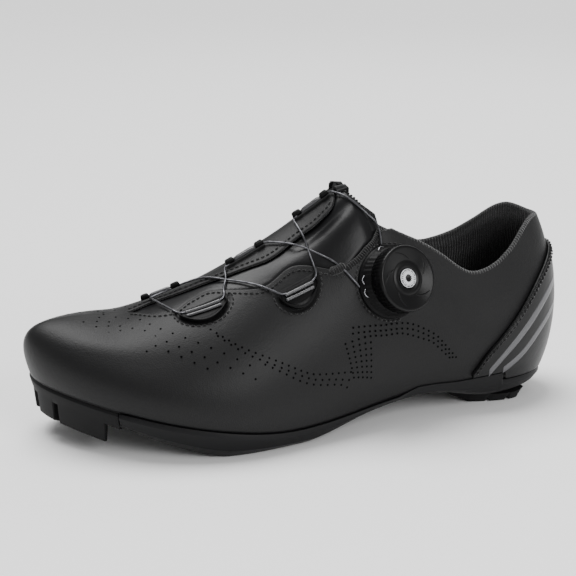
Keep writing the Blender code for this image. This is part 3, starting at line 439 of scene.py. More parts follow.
# Guides
TRAY_LOW = 0.0009
TRAY_LIP = 0.0022
TRAY_RINGS = 16
TRAY_LIP_RUN = (0.10, 0.26)
TRAY_END_RUN = (0.02, 0.07)
TRAY_ROUNDING = (0.0002, 2, 35)
MOON_STEPS = 36
BAR_SPAN = (0.14, 0.86, 30)
BAR_SIDES = 12
# Bars of an outside guide: distance from the straight side in shares, width, rise
BARS = [(0.010, 0.0017, 0.0016), (0.032, 0.0016, 0.0012)]
# Parts of an inside guide: start and end as shares of its length, half width, rise
SLIM_PARTS = [(0.0, 0.24, 0.0013, 0.0030), (0.76, 1.0, 0.0013, 0.0030), (0.20, 0.80, 0.0010, 0.0023)]
SLIM_STEPS = 18
SLIM_SIDES = 14
SLIM_POWER = 6
SLIM_SQUARE = 0.7

# Wire
WIRE_MERGE = 0.000001
WIRE_FINE_STEPS = 14
WIRE_SIDES = 16
WIRE_SMOOTHING = 90
WIRE_STRANDS = 6
WIRE_LAY = 0.0060
WIRE_GROOVE = 0.16
# Runs of the wire inside the guides, between the crossings
WIRE_RUNS = {
    "wire_run_lateral_front": [
        (5.13, -0.204, 0.0012), (5.16, -0.218, 0.0012), (5.21, -0.236, 0.0012), (5.40, -0.250, 0.0010),
        (5.90, -0.252, 0.0010), (6.08, -0.244, 0.0012), (6.12, -0.222, 0.0013), (6.122, -0.210, 0.0013),
    ],
    "wire_run_lateral_back": [
        (6.87, -0.335, 0.0013), (6.90, -0.346, 0.0013), (6.96, -0.366, 0.0012), (7.12, -0.382, 0.0010),
        (7.52, -0.388, 0.0010), (7.68, -0.378, 0.0012), (7.72, -0.358, 0.0013), (7.72, -0.346, 0.0013),
    ],
    "wire_run_medial_front": [
        (4.72, 0.010, 0.0016), (4.70, 0.020, 0.0016), (4.70, 0.038, 0.0014), (4.80, 0.052, 0.0012),
        (5.38, 0.050, 0.0012), (5.52, 0.040, 0.0014), (5.60, 0.020, 0.0016), (5.63, 0.014, 0.0016),
    ],
    "wire_run_medial_middle": [
        (6.355, -0.064, 0.0014), (6.36, -0.056, 0.0014), (6.39, -0.044, 0.0013), (6.50, -0.034, 0.0012),
        (7.02, -0.034, 0.0012), (7.13, -0.040, 0.0014), (7.19, -0.052, 0.0015), (7.21, -0.060, 0.0015),
    ],
    "wire_run_medial_back": [
        (7.815, -0.038, 0.0014), (7.82, -0.026, 0.0014), (7.86, -0.010, 0.0013), (7.98, -0.002, 0.0012),
        (8.56, -0.018, 0.0012), (8.68, -0.026, 0.0014), (8.75, -0.040, 0.0016), (8.77, -0.052, 0.0016),
    ],
}

# Distance under which points are one, and the smallest width at a rounded end, as a share
MERGE = 0.00002
END_SHARE = 0.05

# Rows at the toe tip where the ribs share one end, and the share up to which their faces have a normal
POLE_ROWS = 0.6
POLE_SHARE = 0.96

# Colour sockets of a mix node
MIX_FIRST = 6
MIX_SECOND = 7
MIX_RESULT = 2

# Colours
BLACK_LEATHER = (0.0065, 0.0065, 0.0068)
# Painted shade: the vents are flat discs, near black to stand for the shade inside the holes
VENT_HOLE_SHADE = (0.0008, 0.0008, 0.0009)
TONGUE_BLACK = (0.005, 0.005, 0.0055)
BLACK_RUBBER = (0.004, 0.004, 0.0043)
BLACK_NYLON = (0.004, 0.004, 0.0045)
LINING = (0.011, 0.011, 0.0115)
DARK_PLASTIC = (0.0028, 0.0028, 0.0030)
GLOSS_BAR = (0.050, 0.050, 0.053)
THREAD = (0.0025, 0.0025, 0.0027)
BADGE_GREY = (0.62, 0.63, 0.65)
TAPE_GREYS = [(0.10, 0.10, 0.11), (0.095, 0.095, 0.10), (0.055, 0.055, 0.06)]
WIRE_STEEL = [(0.05, 0.05, 0.055), (0.15, 0.15, 0.16)]
BRIGHT_STEEL = [(0.25, 0.25, 0.27), (0.45, 0.45, 0.47)]
COAT_ROUGHNESS = 0.2

# Stitches: rings of one as place along it and thickness, both as shares
STITCH_RINGS = [(-1.0, 0.02), (-0.86, 0.62), (-0.45, 1.0), (0.45, 1.0), (0.86, 0.62), (1.0, 0.02)]
STITCH_SIDES = 6
STITCH_LENGTH = 0.0019
STITCH_PITCH = 0.0027
STITCH_WIDTH = 0.0008
STITCH_HEIGHT = 0.0004
STITCH_BASE = 0.35
STITCH_LIFT = 0.0001
TONGUE_STITCH = 0.0010
TONGUE_STITCH_PITCH = 0.0018

# Seams
SEAM_STEPS = 240
EYESTAY_SEAM = 0.0022
# Side, first row, last row
EYESTAY_ROWS = [(-1.0, 4.0, 8.3), (1.0, 3.9, 8.6)]
GUIDE_SEAM_ANGLES = (-0.10 * pi, 1.06 * pi)
GUIDE_SEAM_LONG = 1.06
GUIDE_SEAM_DEEP = 1.05
COUNTER_SEAM_STEPS = 200
COUNTER_SEAM_DROPS = (0.22, 0.82)
DIAL_SEAM_ANGLES = (0.15 * pi, 1.55 * pi, 160)
DIAL_SEAM_OUT = 0.0016
TONGUE_SEAM_ROWS = (9.05, 10.2, 80)
TONGUE_SEAM_DROPS = (0.045, 0.070)
TONGUE_SEAM_SLANT = 0.02

# Ribbed strips, the welt between tongue and quarter and the small loop in front of it: slot, places as
# row and across, lift at each end, width, height, distance between ribs
STRIPS = {
    "quarter_welt": (
        "tongue", [(8.33, -0.432), (8.61, -0.432), (8.95, -0.418), (9.61, -0.325), (10.40, -0.110)],
        (-0.0004, -0.0004), 0.0034, 0.0011, 0.0013,
    ),
    "lace_loop": (
        "upper", [(7.98, -0.392), (8.17, -0.408), (8.36, -0.415)], (-0.0002, 0.0002), 0.0046, 0.0020, 0.0012,
    ),
}
STRIP_STEPS = 300
STRIP_SIDES = 14
STRIP_RIB = 0.0005
RIB_STEPS = 8

# Bright loops at the dial's base: middle angles and half span in degrees, sizes
LACE_PORTS = {"lace_port_top": 104, "lace_port_side": 168, "lace_port_low": 190}
PORT_SPAN = 7
PORT_OUT = -0.0004
PORT_BULGE = 0.0009
PORT_HEIGHT = 0.0034
PORT_THICKNESS = 0.0005
PORT_STEPS = 24

# Vents: radius, rise over the leather, corners of a hole
VENT_RADIUS = 0.00054
VENT_LIFT = 0.00006
VENT_SIDES = 12
VENT_STEPS = 400
# Sparse rows over the toes: places along a row, count
TOE_VENTS = [
    ([(2.30, -0.020), (4.06, -0.132), (4.62, -0.261), (5.38, -0.450), (6.12, -0.618)], 13),
    ([(2.30, -0.075), (4.15, -0.245), (4.64, -0.358), (5.39, -0.534), (6.17, -0.689)], 14),
    ([(2.43, -0.141), (3.71, -0.245), (4.35, -0.367), (5.17, -0.557), (5.36, -0.597)], 10),
    ([(1.75, -0.152), (3.18, -0.263), (4.07, -0.387), (4.33, -0.445)], 6),
]
# Dense rows of the side: places along a row, count
SIDE_VENTS = [
    ([(5.65, -0.386), (5.97, -0.497), (6.39, -0.591), (7.05, -0.708), (7.49, -0.760), (8.20, -0.807)], 23),
    ([(5.73, -0.433), (6.06, -0.546), (6.51, -0.638), (7.19, -0.751), (7.63, -0.793), (8.15, -0.835)], 20),
    ([(6.40, -0.634), (6.86, -0.722), (7.32, -0.790), (7.86, -0.832), (8.10, -0.862)], 13),
    ([(8.32, -0.650), (9.30, -0.686), (10.41, -0.639), (11.13, -0.648), (11.39, -0.679), (11.81, -0.787)],
     22),
    ([(8.30, -0.670), (9.30, -0.706), (10.37, -0.668), (11.07, -0.678), (11.35, -0.706), (11.70, -0.790)],
     21),
    ([(8.63, -0.707), (9.33, -0.724), (10.10, -0.701), (10.88, -0.703), (11.18, -0.719), (11.60, -0.795)],
     18),
]
# Field of vents where the rows meet: corners at the front and back, top and bottom; columns, rows
VENT_FIELD = [(8.09, -0.690), (8.80, -0.714), (8.28, -0.835), (8.80, -0.868)]
FIELD_COLUMNS = 5
FIELD_ROWS = 8
# Distance between the ribs of the lining
LINING_RIB = 0.0016

# Studio
FLOOR_COLOUR = (0.93, 0.93, 0.93)
FLOOR_HALF = 6.0
FLOOR_CLEARANCE = 0.0002
WORLD_LIGHT = 0.42
SUN_LIGHT = 3.5
SUN_ANGLE = 40
SUN_PLACE = (-0.15, 0.30, 1.0)
# Lights: name, place, aim, size, energy
LIGHTS = [
    ("overhead", (-0.05, 0.25, 0.90), (0.0, 0.0, 0.05), (0.7, 0.5), 2.5),
    ("front", (0.45, -1.20, 0.75), (0.06, 0.0, 0.05), (0.9, 0.6), 13.0),
    ("rear", (0.55, 0.90, 0.70), (0.0, 0.0, 0.06), (0.8, 0.5), 2.0),
]


def open_curve(knots, values):
    """Natural cubic curve through the values at the knots, read at any array of places."""
    knots = np.asarray(knots, float)
    values = np.asarray(values, float)
    count = len(knots)
    steps = np.diff(knots)
    matrix = np.eye(count)
    right = np.zeros_like(values)
    for i in range(1, count - 1):
        matrix[i, i - 1:i + 2] = steps[i - 1], 2 * (steps[i - 1] + steps[i]), steps[i]
        right[i] = 6 * ((values[i + 1] - values[i]) / steps[i] - (values[i] - values[i - 1]) / steps[i - 1])
    bend = np.linalg.solve(matrix, right)

    def read(x):
        x = np.clip(np.asarray(x, float), knots[0], knots[-1])
        i = np.clip(np.searchsorted(knots, x) - 1, 0, count - 2)
        width = steps[i]
        before, after = (knots[i + 1] - x) / width, (x - knots[i]) / width
        if values.ndim > 1:
            before, after, width = before[..., None], after[..., None], width[..., None]
        curve = (before ** 3 - before) * bend[i] + (after ** 3 - after) * bend[i + 1]
        return before * values[i] + after * values[i + 1] + curve * width ** 2 / 6
    return read


def closed_curve(values):
    """Smooth closed curve through the values, one step apart, read at any array of places."""
    values = np.asarray(values, float)
    count = len(values)
    matrix = 4 * np.eye(count) + np.roll(np.eye(count), 1, 1) + np.roll(np.eye(count), -1, 1)
    right = 6 * (np.roll(values, -1, 0) - 2 * values + np.roll(values, 1, 0))
    bend = np.linalg.solve(matrix, right)

    def read(x):
        x = np.asarray(x, float)
        i = np.floor(x).astype(int) % count
        j = (i + 1) % count
        after = (x - np.floor(x))[..., None]
        before = 1 - after
        curve = (before ** 3 - before) * bend[i] + (after ** 3 - after) * bend[j]
        return before * values[i] + after * values[j] + curve / 6
    return read


def place(along, side, rise):
    """Point of the frame from a share of the length, a side offset and a height."""
    return np.array([LENGTH * (CENTRE_ALONG - along), side + CENTRE_SIDE, rise])


def foot_of(rib):
    return place(rib.foot_along, rib.foot_side * rib.wide, 0.0)[:2]


def top_of(rib):
    return place(rib.top_along, rib.top_side * rib.wide, rib.top_rise * rib.tall)


def unit(vectors):
    return vectors / np.linalg.norm(vectors, axis=-1, keepdims=True)


def between(first, last, share):
    return first + (last - first) * share


def row_of(turn):
    """Row of a place on the loop of rows round both sides."""
    return np.minimum(turn, LOOP_ROWS - turn)


def run_of(path):
    """Length along a path up to each of its points."""
    return np.concatenate([[0.0], np.cumsum(np.linalg.norm(np.diff(path, axis=0), axis=-1))])


ALL_RIBS = [Rib(*scale, *row) for scale, row in zip(RIB_SCALES, OUTER_RIBS)]
ALL_RIBS += [Rib(*scale, *row) for scale, row in zip(RIB_SCALES[1:-1], INNER_RIBS)][::-1]
feet = closed_curve([foot_of(rib) for rib in ALL_RIBS])
feather = open_curve([row[0] for row in FEATHER_LINE], [row[1] * TOE_SPRING for row in FEATHER_LINE])
underside_curve = open_curve([row[0] for row in UNDERSIDE], [row[1] * TOE_SPRING for row in UNDERSIDE])
throat = open_curve([row[0] for row in THROAT], [row[1:] for row in THROAT])
counter_edge = open_curve([row[0] for row in COUNTER_EDGE], [row[1] for row in COUNTER_EDGE])
crest = open_curve(range(APEX_ROW + 1), [top_of(rib) for rib in ALL_RIBS[:APEX_ROW + 1]])
collar = open_curve(
    range(APEX_ROW, LOOP_ROWS - APEX_ROW + 1),
    [top_of(rib) for rib in ALL_RIBS[APEX_ROW:LOOP_ROWS - APEX_ROW + 1]],
)


def underside(along):
    return np.maximum(underside_curve(along), 0.0)


def along_at(x):
    return CENTRE_ALONG - x / LENGTH


def outward(turn):
    """Level unit vectors out of the shoe round the feather line."""
    ahead = unit(feet(turn + TINY_STEP) - feet(turn - TINY_STEP))
    return np.stack([ahead[..., 1], -ahead[..., 0], np.zeros(ahead.shape[:-1])], -1)


def foot_points(turn):
    level = feet(turn)
    return np.concatenate([level, feather(along_at(level[..., 0]))[..., None]], -1)


def top_points(turn):
    row = row_of(turn)
    return np.where((row <= APEX_ROW)[..., None], crest(row), collar(turn))


def handle_points():
    """Handles of the rib curves at each row of the tables."""
    turns = np.arange(len(ALL_RIBS), dtype=float)
    out = outward(turns)
    foot = foot_points(turns)
    up = np.array([0.0, 0.0, 1.0])
    lows = []
    highs = []
    for i, rib in enumerate(ALL_RIBS):
        lows.append(foot[i] + rib.out * rib.wide * out[i] + rib.lift * rib.tall * up)
        highs.append(top_of(rib) + rib.reach * rib.wide * out[i] - rib.drop * rib.tall * up)
    return lows, highs


low_handles, high_handles = (closed_curve(handles) for handles in handle_points())


def skin(turn, share):
    """Points of the last's surface on ribs, from the feather line (0) to the top (1)."""
    turn, share = np.broadcast_arrays(np.mod(np.asarray(turn, float), LOOP_ROWS), np.asarray(share, float))
    t = share[..., None]
    rest = 1 - t
    lower = rest ** 3 * foot_points(turn) + 3 * rest ** 2 * t * low_handles(turn)
    return lower + 3 * rest * t ** 2 * high_handles(turn) + t ** 3 * top_points(turn)


def skin_normal(turn, share):
    """Unit normals of the last's surface; at the start of the crest they come from just below it."""
    row = row_of(np.mod(turn, LOOP_ROWS))
    share = np.where(row < POLE_ROWS, np.minimum(share, POLE_SHARE), share)
    u = skin(turn + TINY_STEP, share) - skin(turn - TINY_STEP, share)
    v = skin(turn, share + TINY_STEP / 2) - skin(turn, share - TINY_STEP / 2)
    return unit(np.cross(u, v))


def rib_place(row, across, side=-1):
    """Rib and share of a place; side settles which rib a place on the crest itself belongs to."""
    row, across = np.broadcast_arrays(np.asarray(row, float), np.asarray(across, float))
    outside = (across < 0) | ((across == 0) & (side < 0))
    return np.where(outside, row, LOOP_ROWS - row), 1 - np.abs(across)


def raised(row, across, height=0.0, side=-1):
    """Points at a height over the upper's face."""
    turn, share = rib_place(row, across, side)
    lift = np.broadcast_to(np.asarray(height, float), turn.shape)[..., None]
    return skin(turn, share) + lift * skin_normal(turn, share)


def face_normal(row, across, side=-1):
    return skin_normal(*rib_place(row, across, side))


def smooth(x, low, high):
    """Rises smoothly from 0 at low to 1 at high."""
    t = np.clip((np.asarray(x, float) - low) / (high - low), 0.0, 1.0)
    return t * t * (3 - 2 * t)


def add_piece(name, mesh, finish, slot, *replaced):
    """Adds a piece to the scene; it rides on the shoe and stands for the nodes named."""
    mesh.materials.append(finish)
    piece = bpy.data.objects.new(name, mesh)
    bpy.context.scene.collection.objects.link(piece)
    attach(piece, "root")
    for node in replaced:
        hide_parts(node)
    return piece


def grid_faces(columns, rows, closed, wrapped):
    """Quads between neighbouring columns of points; wrapped also joins the last row to the first."""
    i, k = np.meshgrid(np.arange(columns if closed else columns - 1),
                       np.arange(rows if wrapped else rows - 1), indexing="ij")
    j, n = (i + 1) % columns, (k + 1) % rows
    return np.stack([i * rows + k, j * rows + k, j * rows + n, i * rows + n], -1).reshape(-1, 4)


def grid_mesh(name, points, closed=False, wrapped=False, uv=None, capped=False):
    """Mesh of a grid of points, with optional texture places in metres."""
    columns, rows = points.shape[:2]
    faces = grid_faces(columns, rows, closed, wrapped).tolist()
    if capped:
        last = (columns - 1) * rows
        faces += [list(range(rows))[::-1], [last + k for k in range(rows)]]
    mesh = bpy.data.meshes.new(name)
    mesh.from_pydata(points.reshape(-1, 3).tolist(), [], faces)
    if uv is not None:
        layer = mesh.uv_layers.new(name="metres")
        corner = np.empty(len(mesh.loops), int)
        mesh.loops.foreach_get("vertex_index", corner)
        layer.data.foreach_set("uv", uv.reshape(-1, 2)[corner].ravel())
    mesh.shade_smooth()
    return mesh


def weld(mesh, distance):
    """Merges coincident points and turns all faces outward."""
    work = bmesh.new()
    work.from_mesh(mesh)
    bmesh.ops.remove_doubles(work, verts=work.verts, dist=distance)
    bmesh.ops.recalc_face_normals(work, faces=work.faces)
    work.to_mesh(mesh)
    work.free()
    mesh.shade_smooth()


def add_grid(name, points, finish, slot, *replaced, closed=False, wrapped=True, merge=MERGE):
    """Piece made of a welded grid of points, with caps where its columns don't close."""
    mesh = grid_mesh(name, points, closed=closed, wrapped=wrapped, capped=not closed)
    weld(mesh, merge)
    return add_piece(name, mesh, finish, slot, *replaced)


def bevelled(piece, width, segments, angle):
    """Rounds the sharp edges of a piece."""
    mod = piece.modifiers.new("round", "BEVEL")
    mod.width = width
    mod.segments = segments
    mod.limit_method = "ANGLE"
    mod.angle_limit = radians(angle)
    return piece


def sweep(name, path, normals, profile, finish, slot, *replaced, widths=1.0, heights=1.0):
    """Solid swept along a path on a face; the profile is a closed line of (side, up) pairs."""
    side = unit(np.cross(normals, unit(np.gradient(path, axis=0))))
    out, up = np.asarray(profile, float).T
    out = np.broadcast_to(widths, len(path))[:, None] * out
    up = np.broadcast_to(heights, len(path))[:, None] * up
    points = path[:, None] + out[..., None] * side[:, None] + up[..., None] * normals[:, None]
    return add_grid(name, points, finish, slot, *replaced)


def tapered(count, power):
    """Widths along a bar with rounded ends, as shares."""
    return np.sqrt(np.clip(1 - np.abs(np.linspace(-1, 1, count)) ** power, END_SHARE, 1))


def oval(width, height, sides=10, base=0.0):
    """Closed oval profile whose lowest point is at the base."""
    return [(width / 2 * cos(2 * pi * i / sides), base + height / 2 * (1 + sin(2 * pi * i / sides)))
            for i in range(sides)]


def resample(path, spacing):
    """Places along a path, the same distance apart, as fractional indexes."""
    run = run_of(path)
    count = max(int(run[-1] / spacing), 1)
    return np.interp((np.arange(count) + 0.5) * run[-1] / count, run, np.arange(len(path)))


def at_index(values, index):
    """Values between the rows of an array."""
    low = np.clip(index.astype(int), 0, len(values) - 2)
    share = (index - low)[:, None]
    return values[low] * (1 - share) + values[low + 1] * share


def fine_line(places, steps):
    """Rows and shares along a smooth line through a few places."""
    return open_curve(range(len(places)), places)(np.linspace(0, len(places) - 1, steps))


def stitches(name, seams, finish, slot, length=STITCH_LENGTH, pitch=STITCH_PITCH):
    """Threads along seams; each seam is a path and its normals. Each stitch is a small rounded bar."""
    template = np.array([
        (x * length / 2, r * STITCH_WIDTH / 2 * cos(a), r * STITCH_HEIGHT * (STITCH_BASE + sin(a)))
        for x, r in STITCH_RINGS for a in np.arange(STITCH_SIDES) * 2 * pi / STITCH_SIDES
    ])
    faces = grid_faces(len(STITCH_RINGS), STITCH_SIDES, False, True)
    points = []
    quads = []
    for path, normals in seams:
        index = resample(path, pitch)
        centres = at_index(path, index)
        ups = unit(at_index(normals, index))
        aheads = unit(at_index(np.gradient(path, axis=0), index))
        sideways = np.cross(ups, aheads)
        for centre, up, ahead, side in zip(centres, ups, aheads, sideways):
            quads.append(faces + len(points) * len(template))
            points.append(centre + STITCH_LIFT * up + template @ np.stack([ahead, side, up]))
    mesh = bpy.data.meshes.new(name)
    mesh.from_pydata(np.concatenate(points).tolist(), [], np.concatenate(quads).tolist())
    mesh.shade_smooth()
    add_piece(name, mesh, finish, slot)


def on_face(row, across, height=0.0, side=-1):
    """Path on the upper and its normals."""
    return raised(row, across, height, side), face_normal(row, across, side)


def new_material(name, colour, roughness, metallic=0.0, coat=0.0, specular=0.5):
    """Principled material; returns it with its tree and shader."""
    made = bpy.data.materials.new(name)
    made.use_nodes = True
    made.diffuse_color = (*colour, 1.0)
    shader = made.node_tree.nodes["Principled BSDF"]
    settings = {
        "Base Color": (*colour, 1.0), "Roughness": roughness, "Metallic": metallic, "Coat Weight": coat,
        "Coat Roughness": COAT_ROUGHNESS, "Specular IOR Level": specular,
    }
    for socket, value in settings.items():
        shader.inputs[socket].default_value = value
    return made, made.node_tree, shader


def add_node(tree, kind, source, socket, **values):
    """Node fed by a source at one socket; values sets its other sockets by name."""
    node = tree.nodes.new(kind)
    for name, value in values.items():
        node.inputs[name].default_value = value
    tree.links.new(source, node.inputs[socket])
    return node


def place_of(tree, kind="Object"):
    """Texture place of a point, in metres."""
    return tree.nodes.new("ShaderNodeTexCoord").outputs[kind]


def noise(tree, vector, scale, detail):
    return add_node(tree, "ShaderNodeTexNoise", vector, "Vector", Scale=scale, Detail=detail).outputs["Fac"]


def cells(tree, vector, scale):
    return add_node(tree, "ShaderNodeTexVoronoi", vector, "Vector", Scale=scale).outputs["Distance"]


def spread(tree, value, low, high):
    """Maps a value between 0 and 1 onto a range."""
    ends = {"To Min": low, "To Max": high}
    return add_node(tree, "ShaderNodeMapRange", value, "Value", **ends).outputs["Result"]


def tint(tree, shader, value, dark, light):
    """Base colour between two colours."""
    node = tree.nodes.new("ShaderNodeMix")
    node.data_type = "RGBA"
    node.inputs[MIX_FIRST].default_value = (*dark, 1.0)
    node.inputs[MIX_SECOND].default_value = (*light, 1.0)
    tree.links.new(value, node.inputs[0])
    tree.links.new(node.outputs[MIX_RESULT], shader.inputs["Base Color"])


def shades(colour, low, high):
    """Two shades of a colour, for the low and the high end of a pattern."""
    return tuple(low * c for c in colour), tuple(high * c for c in colour)


def bump(tree, shader, value, depth, before=None):
    """Relief of a given depth in metres, on top of another one."""
    node = add_node(tree, "ShaderNodeBump", value, "Height", Distance=depth)
    if before is not None:
        tree.links.new(before, node.inputs["Normal"])
    tree.links.new(node.outputs["Normal"], shader.inputs["Normal"])
    return node.outputs["Normal"]


def clouded(name, colour, roughness, scale, detail, gloss, **settings):
    """Material with faint clouds in its colour and gloss; gloss is how far its roughness varies."""
    made, tree, shader = new_material(name, colour, roughness, **settings)
    here = place_of(tree)
    clouds = noise(tree, here, scale, detail)
    tint(tree, shader, clouds, *shades(colour, low=0.85, high=1.2))
    rough = spread(tree, clouds, roughness - gloss[0], roughness + gloss[1])
    tree.links.new(rough, shader.inputs["Roughness"])
    return made, tree, shader, here


def leather(name, colour, roughness, grain=1400.0, grain_depth=0.00005):
    """Synthetic leather with a fine grain over shallow unevenness."""
    made, tree, shader, here = clouded(
        name, colour, roughness, scale=26.0, detail=4.0, gloss=(0.05, 0.06), specular=0.20)
    pebbles = bump(tree, shader, cells(tree, here, grain), grain_depth)
    bump(tree, shader, noise(tree, here, scale=320.0, detail=3.0), depth=0.00008, before=pebbles)
    return made


def plastic(name, colour, roughness, coat=0.0, grain=2600.0, grain_depth=0.00002, specular=0.18):
    """Moulded plastic or rubber with a fine spark-eroded grain."""
    made, tree, shader, here = clouded(
        name, colour, roughness, scale=60.0, detail=3.0, gloss=(0.04, 0.05), coat=coat, specular=specular)
    bump(tree, shader, noise(tree, here, grain, detail=2.0), grain_depth)
    return made


def knit(name, colour, rib):
    """Padded lining with ribs across its edge and a fine mesh between them; uses the mesh's metres. Its
    colour has painted shade in the ribs' grooves and a painted highlight on their crests.
    """
    made, tree, shader = new_material(name, colour, roughness=0.9, specular=0.3)
    here = place_of(tree, "UV")
    weave = {"Scale": pi / (10 * rib), "Distortion": 0.6, "Detail": 1.0, "Detail Scale": 200.0}
    wave = add_node(tree, "ShaderNodeTexWave", here, "Vector", **weave)
    wave.bands_direction = "X"
    ribs = wave.outputs["Fac"]
    # Painted shade and highlight: the grooves between the ribs darker, their crests lighter, following the
    # bump
    tint(tree, shader, ribs, *shades(colour, low=0.45, high=1.5))
    first = bump(tree, shader, ribs, depth=0.0005)
    bump(tree, shader, cells(tree, here, scale=1500.0), depth=0.0002, before=first)
    shader.inputs["Sheen Weight"].default_value = 0.25
    return made


def webbing(name, colour, pitch):
    """Plain woven fabric."""
    made, tree, shader = new_material(name, colour, roughness=0.85, specular=0.3)
    weave = cells(tree, place_of(tree), 1.0 / pitch)
    tint(tree, shader, weave, *shades(colour, low=1.6, high=0.6))
    bump(tree, shader, weave, depth=0.0003)
    shader.inputs["Sheen Weight"].default_value = 0.2
    return made


def steel(name, dark, light):
    """Drawn steel with a faint lengthwise grain."""
    made, tree, shader = new_material(name, light, roughness=0.40, metallic=1.0)
    streaks = noise(tree, place_of(tree), scale=900.0, detail=2.0)
    tint(tree, shader, streaks, dark, light)
    bump(tree, shader, streaks, depth=0.00003)
    return made


def tape(name, colour, light, dark):
    """Grey reflective tape: fine glass beads under a clear film."""
    made, tree, shader = new_material(name, colour, roughness=0.42, metallic=0.2, coat=0.2)
    beads = cells(tree, place_of(tree), scale=4200.0)
    tint(tree, shader, beads, light, dark)
    bump(tree, shader, beads, depth=0.00004)
    return made


def throat_share(row, side):
    """Where a rib ends at the throat edge, as a signed share of its section."""
    edges = throat(row)
    open_rows = (row > THROAT[0][0]) & (row < THROAT[-1][0])
    inner = np.where(row < APEX_ROW, edges[..., 1], np.maximum(edges[..., 1], 0.0))
    return np.where(open_rows, np.where(side < 0, np.minimum(edges[..., 0], 0.0), inner), 0.0)


def wall_at(row, share):
    """Thickness of the upper's wall; share counts from the feather line to the edge."""
    collar_part = np.clip((row - COLLAR_START) / COLLAR_BLEND, 0.0, 1.0)
    padded = np.interp(share, *zip(*WALL_RINGS)) * COLLAR_PAD
    thin_edge = WALL - THIN_EDGE * smooth(share, THIN_FROM, 1.0)
    return thin_edge + collar_part * np.maximum(padded - thin_edge, 0.0)


def recess(row, across):
    """1 inside the half moon recesses round the outside guides, 0 outside, soft between."""
    mask = np.zeros(np.broadcast(row, across).shape)
    for front, back, edge_front, edge_back in OUTER_GUIDES.values():
        run = (row - front) / (back - front)
        edge = between(edge_front, edge_back, run)
        along = (2 * run - 1) / RECESS_LONG
        down = (edge - across) / (HALF_MOON_DEPTH + HALF_MOON_END)
        reach = np.hypot(along, np.maximum(down, 0.0) / RECESS_DEEP)
        mask = np.maximum(mask, (1 - smooth(reach, RECESS_SOFT, 1.0)) * smooth(down, *RECESS_OPEN))
    return mask


def soft_forms(forms, row, across):
    """Sum of listed soft ridges and troughs."""
    height = np.zeros(np.broadcast(row, across).shape)
    for at_row, at_across, row_reach, across_reach, rise in forms:
        far = ((row - at_row) / row_reach) ** 2 + ((across - at_across) / across_reach) ** 2
        height += rise * np.exp(-far)
    return height


def upper_rings(turns):
    """Grid of the upper: outer face, rolled edge and lining, and how many rings the face has."""
    row = row_of(turns)
    side = np.where(turns <= LAST_ROW, -1.0, 1.0)
    edge = throat_share(row, side) + side * np.interp(row, *zip(*RIM_CUT))
    low_half = np.linspace(0, 0.5, UPPER_LOW_RINGS)
    rings = np.concatenate([low_half, np.linspace(0.5, 1.0, UPPER_FINE_RINGS)[1:]])
    row_grid = np.repeat(row[:, None], len(rings), 1)
    side_grid = np.repeat(side[:, None], len(rings), 1)
    across = side_grid + (edge[:, None] - side_grid) * rings
    skin_points, normals = on_face(row_grid, across, 0.0, side_grid)
    height = soft_forms(SOFT_FORMS, row_grid, across) - RECESS_DROP * recess(row_grid, across)
    wall = np.maximum(wall_at(row_grid, rings), MIN_WALL - height)
    face = skin_points + height[..., None] * normals
    inside = skin_points - wall[..., None] * normals
    ahead = unit(face[:, -1] - face[:, -2])
    middle, half = (face[:, -1] + inside[:, -1]) / 2, (face[:, -1] - inside[:, -1]) / 2
    radius = np.linalg.norm(half, axis=-1, keepdims=True)
    angles = np.linspace(0, pi, EDGE_STEPS + 2)[1:-1]
    roll = [middle + cos(a) * half + sin(a) * radius * ahead for a in angles]
    inner_rings = np.linspace(len(rings) - 1, 0, INNER_RINGS).round().astype(int)
    return np.concatenate([face, np.stack(roll, 1), inside[:, inner_rings]], 1), len(rings)


def make_upper(outer, lining):
    """Hollow upper: outer face with its recesses, rolled edge, padded lining."""
    turns = np.concatenate([np.linspace(a, b, count, endpoint=False) for a, b, count in UPPER_COLUMNS])
    points, face_rings = upper_rings(turns)
    run = np.cumsum(np.linalg.norm(np.diff(points[:, UV_RING], axis=0, prepend=points[:1, UV_RING]), axis=-1))
    climb = np.cumsum(np.linalg.norm(np.diff(points, axis=1, prepend=points[:, :1]), axis=-1), axis=1)
    uv = np.stack([np.repeat(run[:, None], points.shape[1], 1), climb], -1)
    mesh = grid_mesh("upper_shell", points, closed=True, wrapped=True, uv=uv)
    add_piece("upper_shell", mesh, outer, "upper", "upper")
    mesh.materials.append(lining)
    column_of, ring_of = np.divmod(np.arange(len(mesh.polygons)), points.shape[1])
    at_collar = row_of(turns) > LINING_FROM
    first_lining = np.where(at_collar, face_rings - 1, face_rings + EDGE_STEPS // 2)
    mesh.polygons.foreach_set("material_index", (ring_of >= first_lining[column_of]).astype(np.int32))


def tongue_height(row, across):
    """Height of the tongue's face over the upper's outer face (below it, so negative)."""
    edges = throat(row)
    beyond = np.maximum(edges[..., 0] - across, across - edges[..., 1])
    covered = beyond / TONGUE_SINK_RUN + TONGUE_SINK_LEAD
    open_depth = np.interp(row, *zip(*TONGUE_DEPTH))
    depth = open_depth + (TONGUE_COVERED - open_depth) * smooth(covered, 0.0, 1.0)
    near_crest = 1 - smooth(np.abs(across), 0.0, TONGUE_ROUND_SHARE)
    round_edge = TONGUE_ROUND * near_crest * smooth(row, APEX_ROW - TONGUE_ROUND_ROWS, APEX_ROW)
    padding = soft_forms(TONGUE_FORMS, row, across) * (1 - smooth(covered, PADDING_FADE, 1.0))
    return padding - depth - round_edge


